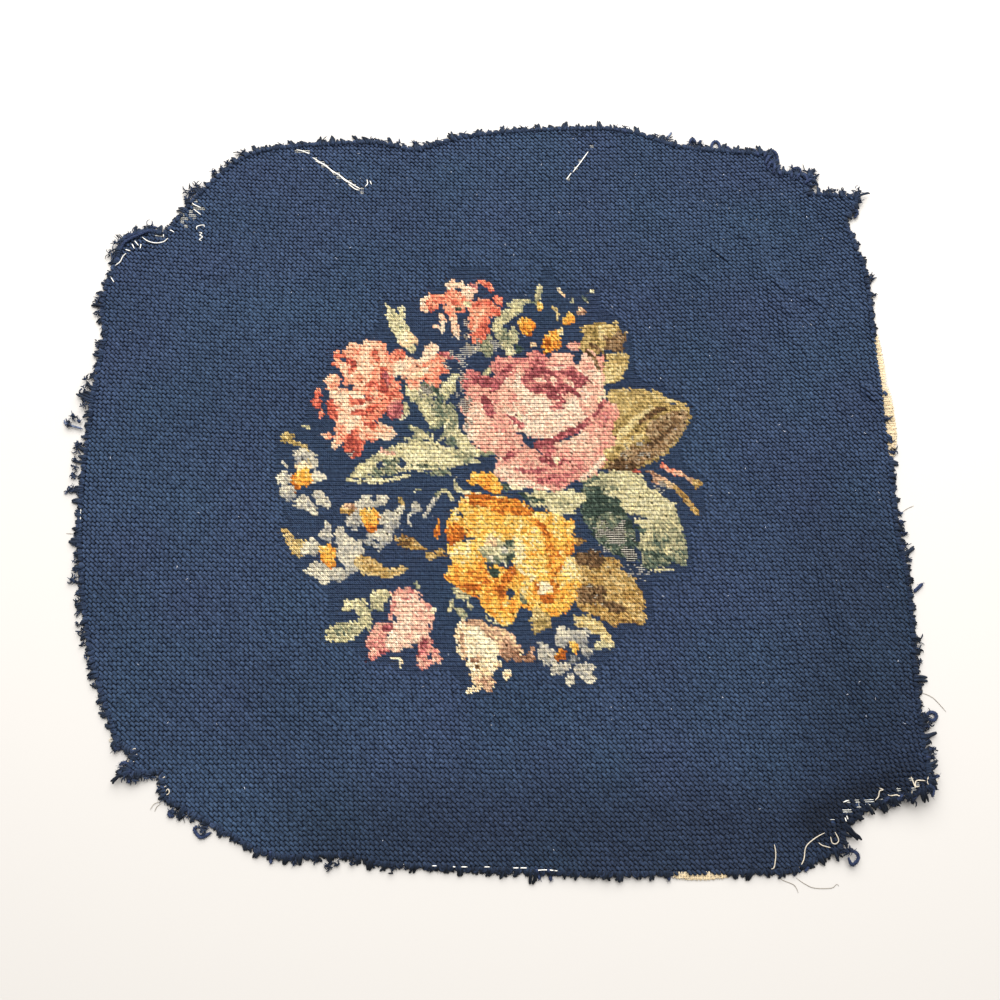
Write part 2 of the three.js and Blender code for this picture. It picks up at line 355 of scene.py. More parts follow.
@dataclass(frozen=True)
class BackFinish:
    """The back of the work: long slanted runs of navy yarn, with painted shade in the grooves between them.
    """

    name: str = "wool_back"
    light: str = "#3f4f6d"
    dark: str = "#141c30"
    run_pitch: float = STITCH * MM
    run_depth: float = 0.0007

    def material(self) -> bpy.types.Material:
        """Builds the finish from slanted waves that a noise breaks up."""
        graph = Graph(self.name)
        place = graph.place()
        x = graph.node("ShaderNodeSeparateXYZ", {}, {0: place}, "X")
        y = graph.node("ShaderNodeSeparateXYZ", {}, {0: place}, "Y")
        stray = graph.noise(320.0, 3.0) * 2.4
        slant = (x * 0.55 + y) * (2 * math.pi / self.run_pitch) + stray
        runs = graph.node("ShaderNodeMath", {"operation": "SINE"}, {0: slant}).bent(-1.0, 1.0)
        ends = graph.node("ShaderNodeMath", {"operation": "SINE"}, {0: x * (math.pi / self.run_pitch)})
        height = runs * 0.75 + ends.bent(-1.0, 0.2) * 0.25
        # Painted shade: the colour follows the height, dark in the grooves and light on the runs.
        colour = graph.mix(height, (*linear(self.dark), 1), (*linear(self.light), 1))
        return graph.dress(
            Base_Color=colour,
            Roughness=0.95,
            Specular_IOR_Level=0.15,
            Normal=graph.bump(height, self.run_depth),
        )


@dataclass(frozen=True)
class TableFinish:
    """The plain pale table top."""

    name: str = "pale_table"
    colour: str = "#c0bcb7"

    def material(self) -> bpy.types.Material:
        """Builds a smooth, matt, almost white finish."""
        colour = (*linear(self.colour), 1)
        return Graph(self.name).dress(Base_Color=colour, Roughness=0.8, Specular_IOR_Level=0.2)


class Wool(Enum):
    """The families of yarn in the bouquet, each from its darkest shade to its lightest."""

    CORAL = ("#a84c40", "#d0664e", "#ec8468", "#f4a07c", "#f8bc98", "#fbd2ae", "#fde4c4")
    ROSE = ("#8e4648", "#ae5e60", "#ce7e76", "#df9686", "#e9ac94", "#efbca2", "#f6d0b2", "#fbe2c8")
    GOLD = ("#ac5c20", "#cc7428", "#e6963a", "#f2b048", "#f6c660", "#f9d886", "#fbe9ba")
    OLIVE = ("#665228", "#86703c", "#a48a52", "#bea266", "#d4ba7c", "#e6d29c")
    BROWN = ("#5c442c", "#7e5e3c", "#a0805a", "#bc9e78", "#d4bc92")
    SAGE = ("#38463c", "#566456", "#7a8068", "#a29e7c", "#c2b890", "#dccf9e", "#ece2ba")
    WHITE = ("#65686c", "#888784", "#a6a29a", "#c0b9a9", "#d6ccb4", "#eadfc4")
    OCHRE = ("#7c5a34", "#a27a40", "#bf9a56", "#d4b272", "#e6cc92")
    TAN = ("#8f664c", "#b88e70", "#dcb490", "#f2d0a0", "#fbe2b4", "#feeecc")
    NAVY = ("#1d2740", "#28334f", "#333f5e")

    def pick(self, tone: Array) -> Array:
        """The colour of the shade that each tone, from 0 to 1, falls on."""
        shades = np.array([linear(code) for code in self.value])
        nth = np.clip(np.floor(np.asarray(tone) * len(shades)), 0, len(shades) - 1).astype(int)
        return shades[nth]


@dataclass(frozen=True)
class EdgeRun:
    """A stretch of the stitched edge, clockwise, whose points a smooth run curves through."""

    name: str
    is_smooth: bool
    points: tuple[Place, ...]


EDGE_RUNS = (
    EdgeRun(
        "top edge",
        True,
        (
            (-164, 223), (-134, 231), (-83, 234), (-54, 229), (-23, 238),
            (22, 243), (78, 243), (116, 231), (171, 226),
        ),
    ),
    EdgeRun(
        "top right corner, torn",
        False,
        ((177, 213), (199, 210), (193, 198), (225, 194), (216, 178)),
    ),
    EdgeRun(
        "right edge",
        True,
        ((226, 143), (228, 99), (231, 32), (231, -17), (235, -52), (234, -112), (235, -148), (234, -163)),
    ),
    EdgeRun(
        "bottom right corner, cut away",
        False,
        ((200, -173), (187, -183), (184, -194), (158, -206)),
    ),
    EdgeRun(
        "bottom edge",
        True,
        ((108, -207), (36, -207), (-54, -203), (-86, -198), (-123, -198), (-153, -184), (-184, -168)),
    ),
    EdgeRun(
        "bottom left corner, torn",
        False,
        ((-187, -154), (-206, -155), (-201, -144), (-212, -139)),
    ),
    EdgeRun(
        "left edge",
        True,
        (
            (-232, -88), (-243, -33), (-246, 10), (-243, 77),
            (-241, 102), (-244, 125), (-238, 152), (-233, 167),
        ),
    ),
    EdgeRun(
        "top left corner, cut away",
        False,
        ((-219, 172), (-209, 170), (-193, 194)),
    ),
)


def curved(through: Array, steps: int) -> Array:
    """A smooth curve through points.

    Args:
        through: The points, two or more.
        steps: How many steps it has between two of them.

    Returns:
        The points of the curve, the first and the last one included.
    """
    padded = np.vstack([through[:1], through, through[-1:]])
    t = np.linspace(0, 1, steps, endpoint=False)[:, None]
    parts = []
    for i in range(len(through) - 1):
        a, b, c, d = padded[i : i + 4]
        lean_b = (c - a) / 2
        lean_c = (d - b) / 2
        part = (2 * b - 2 * c + lean_b + lean_c) * t**3 + (-3 * b + 3 * c - 2 * lean_b - lean_c) * t**2
        parts.append(part + lean_b * t + b)
    return np.vstack([*parts, through[-1:]])


def evenly(line: Array, count: int) -> Array:
    """As many points as asked for at even distances along a line."""
    far = np.concatenate([[0], np.cumsum(np.hypot(*np.diff(line, axis=0).T))])
    at = np.linspace(0, far[-1], count)
    return np.stack([np.interp(at, far, line[:, axis]) for axis in (0, 1)], axis=1)


class Edge:
    """The stitched edge, with the places along it and out from it."""

    STEP = 3.2
    CURVE_STEPS = 24

    def __init__(self, runs: Sequence[EdgeRun]) -> None:
        """Works out points about a step apart on every run, keeping each corner."""
        points: list[Array] = []
        start = np.array(runs[-1].points[-1], float)
        for run in runs:
            through = np.vstack([start, np.array(run.points, float)])
            pieces = [through[i : i + 2] for i in range(len(through) - 1)]
            if run.is_smooth:
                pieces = [curved(through, self.CURVE_STEPS)]
            for piece in pieces:
                points.append(self._even(piece))
            start = through[-1]
        self.points = np.vstack(points)
        sides = np.roll(self.points, -1, axis=0) - self.points
        self.lengths = np.concatenate([[0], np.cumsum(np.hypot(*sides.T))])
        self.total = float(self.lengths[-1])
        along = sides / np.hypot(*sides.T)[:, None]
        normals = np.stack([-along[:, 1], along[:, 0]], axis=1)
        before = np.roll(normals, 1, axis=0)
        self.mitres = (normals + before) / (1 + np.sum(normals * before, axis=1))[:, None]

    def _even(self, piece: Array) -> Array:
        """Even steps along a line, without its last point."""
        steps = max(1, round(float(np.hypot(*np.diff(piece, axis=0).T).sum()) / self.STEP))
        return evenly(piece, steps + 1)[:-1]

    def place(self, at: Array, out: Array) -> Array:
        """Places in millimetres, out from the edge and at a distance along it."""
        wrapped = np.mod(at, self.total)
        nth = np.clip(np.searchsorted(self.lengths, wrapped, side="right") - 1, 0, len(self.points) - 1)
        share = ((wrapped - self.lengths[nth]) / (self.lengths[nth + 1] - self.lengths[nth]))[..., None]
        after = (nth + 1) % len(self.points)
        on_edge = self.points[nth] * (1 - share) + self.points[after] * share
        mitre = self.mitres[nth] * (1 - share) + self.mitres[after] * share
        return on_edge + mitre * np.asarray(out)[..., None]

    def distance_to(self, bearing: float, centre: Array) -> float:
        """How far along the edge a bearing from the panel's middle is met."""
        at = np.arange(0, self.total, 1.0)
        placed = self.place(at, np.zeros_like(at)) - centre
        off = np.angle(np.exp(1j * (np.arctan2(placed[:, 1], placed[:, 0]) - math.radians(bearing))))
        return float(at[np.argmin(np.abs(off))])

    def depth(self, x: Array, y: Array) -> Array:
        """How far inside the edge places are, below 0 outside it."""
        flat = np.stack([np.ravel(x), np.ravel(y)], axis=1)
        after = np.roll(self.points, -1, axis=0)
        side = after - self.points
        found = np.empty(len(flat))
        for part in np.array_split(np.arange(len(flat)), max(1, len(flat) // 4000)):
            here = flat[part][:, None, :]
            share = np.sum((here - self.points) * side, axis=2) / np.sum(side * side, axis=1)
            nearest = self.points + side * np.clip(share, 0, 1)[..., None]
            least = np.min(np.hypot(*np.moveaxis(here - nearest, 2, 0)), axis=1)
            spans = (self.points[:, 1] > here[..., 1]) != (after[:, 1] > here[..., 1])
            rise = np.where(side[:, 1] == 0, 1e-9, side[:, 1])
            meets = self.points[:, 0] + side[:, 0] * (here[..., 1] - self.points[:, 1]) / rise
            inside = np.sum(spans & (here[..., 0] < meets), axis=1) % 2 == 1
            found[part] = np.where(inside, least, -least)
        return found.reshape(np.shape(x))


@dataclass(frozen=True)
class Rise:
    """A soft hump of the cloth: its middle, its half widths, the turn of the longer one and its height."""

    name: str
    x: float
    y: float
    along: float
    across: float
    turn: float
    height: float

    def at(self, x: Array, y: Array) -> Array:
        """How much it lifts the cloth at places."""
        turn = math.radians(self.turn)
        dx = x - self.x
        dy = y - self.y
        u = (dx * math.cos(turn) + dy * math.sin(turn)) / self.along
        v = (dy * math.cos(turn) - dx * math.sin(turn)) / self.across
        away = np.minimum(np.hypot(u, v), 1)
        return self.height * np.cos(away * math.pi / 2) ** 2


RISES = (
    Rise("bottom right corner curl", 240, -172, 62, 44, 50, 6.5),
    Rise("bottom right cut, curled", 196, -190, 30, 24, 35, 3.0),
    Rise("top left corner curl", -236, 182, 40, 30, -40, 3.6),
    Rise("top right corner curl", 226, 208, 46, 34, 45, 3.2),
    Rise("bottom left corner curl", -214, -160, 34, 26, 130, 2.6),
    Rise("right edge pucker", 238, 72, 26, 20, 20, 2.2),
    Rise("right side crease, upper", 172, 120, 70, 13, -72, 1.6),
    Rise("right side crease, lower", 196, -70, 66, 14, -80, 1.5),
    Rise("bottom edge wave", 60, -214, 50, 18, 0, 1.4),
    Rise("top edge wave", -60, 240, 44, 18, 0, 1.3),
    Rise("left edge wave", -250, 60, 46, 18, 90, 1.5),
)

# Narrow wrinkles and dents that only the cloth's own surface has.
WRINKLES = (
    Rise("upper right wrinkle, first", 136, 157, 15, 3.2, -45, 1.4),
    Rise("upper right wrinkle, second", 124, 139, 11, 3.0, -38, 1.3),
    Rise("upper right wrinkle, third", 172, 135, 14, 3.4, -48, 1.6),
    Rise("upper right wrinkle, fourth", 193, 126, 10, 3.0, -40, 1.4),
    Rise("upper right dent", 176, 118, 6, 4.5, 0, 1.4),
    Rise("right middle dent", 221, 66, 11, 4, -58, 1.7),
    Rise("lower middle ripple", 90, -142, 46, 7, 12, 0.5),
    Rise("lower left ripple", -120, -120, 52, 8, -18, 0.5),
    Rise("upper left ripple", -110, 150, 60, 9, 28, 0.5),
    Rise("right side ripple", 150, 20, 50, 8, -78, 0.7),
)


class Cloth:
    """The shape of the cloth as it lies: how high its underside is above the table."""

    def __init__(self, rises: Sequence[Rise], wrinkles: Sequence[Rise]) -> None:
        """Keeps the rises that the solid has too and the finer wrinkles."""
        self.rises = tuple(rises)
        self.wrinkles = tuple(wrinkles)

    def lift(self, x: Array, y: Array) -> Array:
        """Height in millimetres of the cloth's underside."""
        return sum(rise.at(x, y) for rise in self.rises)

    def surface(self, x: Array, y: Array) -> Array:
        """Height of the stitched face's ground level, wrinkles included, less the cloth's own thickness."""
        return self.lift(x, y) + sum(wrinkle.at(x, y) for wrinkle in self.wrinkles)


@dataclass(frozen=True)
class Lattice:
    """The canvas as it is pulled out of square: where the crossing of a column and a row lies.

    Columns and rows count pairs of canvas threads from the point that the camera looks at.
    """

    pitch: float = STITCH
    lean: float = 0.045
    lean_growth: float = 0.00012
    sag: float = 0.00018
    sag_start: float = -50.0
    sag_span: float = 220.0
    right_sag: float = 0.00009
    wave: float = 0.7
    wave_cell: float = 46.0

    def place(self, column: Array, row: Array) -> tuple[Array, Array]:
        """Millimetres across and up for columns and rows."""
        x = np.asarray(column, float) * self.pitch
        y = np.asarray(row, float) * self.pitch
        top = np.clip((y - self.sag_start) / self.sag_span, 0, 1)
        low = np.clip(-y / self.sag_span, 0, 1)
        across = x - self.lean * y + self.lean_growth * y * y + self.wave * Drift(3, self.wave_cell).at(x, y)
        up = y + self.sag * x * x * top + self.right_sag * np.maximum(x, 0) ** 2 * low
        return across, up + self.wave * Drift(4, self.wave_cell).at(x, y)


class Chart:
    """The bouquet's chart: one cell for each half-size stitch, with its yarn and whether it is still sewn."""

    WIDEST = 58
    TALLEST = 58
    RAGGED_CELL = 2.1
    RAGGED_GRAIN = 0.55
    MOTTLE_CELL = 3.6
    MOTTLE = 0.12
    RAGGED_MOTTLE = 0.07

    def __init__(self, lattice: Lattice, seed: int = 11) -> None:
        """Lays out an empty chart over the middle of the canvas."""
        self.columns, self.rows = np.meshgrid(
            np.arange(-2 * self.WIDEST, 2 * self.WIDEST), np.arange(-2 * self.TALLEST, 2 * self.TALLEST)
        )
        self.x, self.y = lattice.place((self.columns + 0.5) / 2, (self.rows + 0.5) / 2)
        self.dice = np.random.default_rng(seed)
        self.grain = self.dice.uniform(-1, 1, self.x.shape)
        self.ragged = Drift(seed + 1, self.RAGGED_CELL).at(self.x, self.y)
        patches = Drift(seed + 2, self.MOTTLE_CELL).at(self.x, self.y)
        self.mottle = self.MOTTLE * patches + self.RAGGED_MOTTLE * self.ragged
        self.ragged = self.ragged + self.RAGGED_GRAIN * self.grain
        self.colour = np.zeros((*self.x.shape, 3))
        self.family = np.full(self.x.shape, -1)
        self.lost = np.zeros(self.x.shape, bool)
        self.families = list(Wool)

    def sew(self, where: Array, wool: Wool, tone: Array) -> None:
        """Works cells in a yarn.

        Args:
            where: Which cells are worked.
            wool: The family of the yarn.
            tone: The tone of each cell, from 0 for the darkest shade to 1 for the lightest.
        """
        uneven = np.broadcast_to(tone, self.x.shape) + self.grain * 1.3 / len(wool.value) + self.mottle
        self.colour[where] = wool.pick(uneven)[where]
        self.family[where] = self.families.index(wool)
        self.lost[where] = False

    def lose(self, where: Array) -> None:
        """Wears the yarn away, which leaves bare threads."""
        self.lost |= where


@dataclass(frozen=True)
class Petal:
    """A petal from its base to its tip, worked in shades of one yarn."""

    base: Place
    tip: Place
    width: float
    wool: Wool = Wool.ROSE
    dark: float = 0.35
    light: float = 0.8
    bow: float = 0.0
    full: float = 0.62
    blunt: float = 0.55
    ruffle: float = 0.05
    waves: float = 2.0
    rim: float = 0.12
    crease: float = 0.25
    vein: float = 0.08

    def spots(self, chart: Chart) -> tuple[Array, Array, Array]:
        """Cells in the petal's own terms.

        Returns:
            The share of the way from base to tip, the place from its left edge at -1 to its right edge at 1,
            and which cells are in the petal.
        """
        base = np.array(self.base, float)
        axis = np.array(self.tip, float) - base
        length = float(np.hypot(*axis))
        axis /= length
        dx = chart.x - base[0]
        dy = chart.y - base[1]
        along = (dx * axis[0] + dy * axis[1]) / length
        off = (dx * axis[1] - dy * axis[0]) - self.bow * length * 4 * along * (1 - along)
        phase = 2 * math.pi * spread(self.width + self.tip[0])
        lateral = np.clip(2 * off / self.width, -1, 1)
        wavy = 1 + self.ruffle * 0.6 * np.sin(self.waves * math.pi * lateral + phase)
        share = along / wavy
        inner = np.clip(share, 0.0001, 0.9999)
        bulge = np.sin(math.pi * inner ** (math.log(0.5) / math.log(self.full))) ** self.blunt
        frill = np.sin(self.waves * 2 * math.pi * inner + 2 * phase)
        half = self.width / 2 * bulge * (1 + self.ruffle * frill)
        edge = np.abs(off) / np.maximum(half, 0.01)
        within = (share > 0) & (share < 1) & (edge + 0.75 * chart.ragged * THREAD / np.maximum(half, 2.0) < 1)
        return inner, np.clip(off / np.maximum(half, 0.01), -1, 1), within

    def tone(self, share: Array, lateral: Array) -> Array:
        """The tone over the petal: darker at its base and along its crease, lighter at its rim."""
        tone = self.dark + (self.light - self.dark) * share**1.1
        tone = tone + self.rim * smooth((np.maximum(np.abs(lateral), share**2) - 0.72) / 0.28)
        tone = tone - self.crease * np.exp(-((lateral / 0.22) ** 2)) * (1 - share) ** 1.2
        return tone + self.vein * np.cos(lateral * math.pi * 3.4 + share * 3)

    def sew(self, chart: Chart) -> None:
        """Works the petal into the chart."""
        share, lateral, within = self.spots(chart)
        chart.sew(within, self.wool, self.tone(share, lateral))


@dataclass(frozen=True)
class Leaf(Petal):
    """A leaf: one half lighter than the other, a pale midrib, and slanting side veins."""

    wool: Wool = Wool.SAGE
    dark: float = 0.3
    light: float = 0.7
    full: float = 0.45
    blunt: float = 0.8
    ruffle: float = 0.05
    waves: float = 3.0
    rim: float = 0.06
    midrib: float = 0.22
    ribs: float = 5.0

    def tone(self, share: Array, lateral: Array) -> Array:
        """The tone over the leaf."""
        half = smooth((lateral + 0.12) / 0.24)
        tone = self.light * (1 - half) + self.dark * half
        tone = tone + self.midrib * np.exp(-((lateral / 0.13) ** 2)) * (1 - share)
        slant = np.cos(2 * math.pi * (self.ribs * share - 1.1 * np.abs(lateral)))
        return tone + self.vein * slant + self.rim * smooth((np.abs(lateral) - 0.75) / 0.25)


@dataclass(frozen=True)
class Blob:
    """A rounded patch of one yarn with an uneven edge, mottled, and lighter towards one side."""

    centre: Place
    across: float
    tall: float
    wool: Wool
    dark: float
    light: float
    turn: float = 0.0
    lean: float = 120.0
    jagged: float = 0.09

    def sew(self, chart: Chart) -> None:
        """Works the patch into the chart."""
        turn = math.radians(self.turn)
        lean = math.radians(self.lean)
        dx = chart.x - self.centre[0]
        dy = chart.y - self.centre[1]
        u = (dx * math.cos(turn) + dy * math.sin(turn)) / self.across
        v = (dy * math.cos(turn) - dx * math.sin(turn)) / self.tall
        around = np.arctan2(v, u)
        phase = 2 * math.pi * spread(self.centre[0] + 3 * self.centre[1])
        wave = np.sin(3 * around + phase) + 0.7 * np.sin(5 * around + 2 * phase)
        small = min(self.across, self.tall)
        edge = np.hypot(u, v) + 0.75 * chart.ragged * THREAD / max(small, 3.0)
        away = (dx * math.cos(lean) + dy * math.sin(lean)) / max(self.across, self.tall)
        tone = (self.dark + self.light) / 2 + 0.5 * (self.light - self.dark) * away
        chart.sew(edge < 1 + self.jagged * wave, self.wool, tone)


@dataclass(frozen=True)
class Stroke:
    """A streak of one yarn along a curve, widest in its middle."""

    through: tuple[Place, ...]
    wool: Wool
    start: float
    end: float
    half: float

    def sew(self, chart: Chart) -> None:
        """Works the streak into the chart."""
        line = curved(np.array(self.through, float), 8)
        away = np.full(chart.x.shape, 99.0)
        tone = np.zeros(chart.x.shape)
        for n, (x, y) in enumerate(line):
            share = n / (len(line) - 1)
            half = self.half * (0.65 + 0.5 * math.sin(math.pi * share))
            here = np.hypot(chart.x - x, chart.y - y) - half
            tone = np.where(here < away, self.start + (self.end - self.start) * share, tone)
            away = np.minimum(away, here)
        chart.sew(away + 0.5 * chart.ragged < 0, self.wool, tone)


@dataclass(frozen=True)
class Worn:
    """A worn place of the bouquet, where part of the yarn is gone and bare threads show."""

    centre: Place
    radius: float
    share: float = 0.6
    tall: float = 1.0

    def sew(self, chart: Chart) -> None:
        """Wears the place."""
        away = np.hypot(chart.x - self.centre[0], (chart.y - self.centre[1]) / self.tall) / self.radius
        chance = 0.5 + 0.5 * Drift(41, 3.4).at(chart.x, chart.y) + 0.25 * chart.grain
        chart.lose((away < 1) & (chance < self.share * (1.15 - away)))


def petal(wool: Wool, base: Place, tip: Place, width: float, *tones: float, **shape: float) -> Petal:
    """A petal from its readings in pixels, its tones at the base and the tip, and its shape."""
    return Petal(seen(*base), seen(*tip), real(width), wool, *tones, **shape)


def leaf(wool: Wool, base: Place, tip: Place, width: float, *tones: float, **shape: float) -> Leaf:
    """A leaf from its readings in pixels, the tones of its dark and its light half, and its shape."""
    return Leaf(seen(*base), seen(*tip), real(width), wool, *tones, **shape)


def worn(centre: Place, radius: float, share: float, tall: float = 1.0) -> Worn:
    """A worn place from its readings in pixels."""
    return Worn(seen(*centre), real(radius), share, tall)


def blobs(wool: Wool, *rows: tuple[float, ...]) -> tuple[Blob, ...]:
    """Patches of one yarn.

    Args:
        wool: Their yarn.
        *rows: For each, the pixel of its middle, its half sizes across and up in pixels, its dark and its
            light tone in hundredths, and, where it has them, its turn and the bearing of its light side.

    Returns:
        The patches, in order.
    """
    return tuple(
        Blob(seen(x, y), real(across), real(tall), wool, dark / 100, light / 100, *more)
        for x, y, across, tall, dark, light, *more in rows
    )


def strokes(wool: Wool, *rows: tuple) -> tuple[Stroke, ...]:
    """Streaks of one yarn.

    Args:
        wool: Their yarn.
        *rows: For each, its width in pixels, its tones at the start and the end in hundredths, and the
            pixels that it goes through.

    Returns:
        The streaks, in order.
    """
    return tuple(
        Stroke(tuple(seen(*pixel) for pixel in through), wool, start / 100, end / 100, real(width) / 2)
        for width, start, end, *through in rows
    )
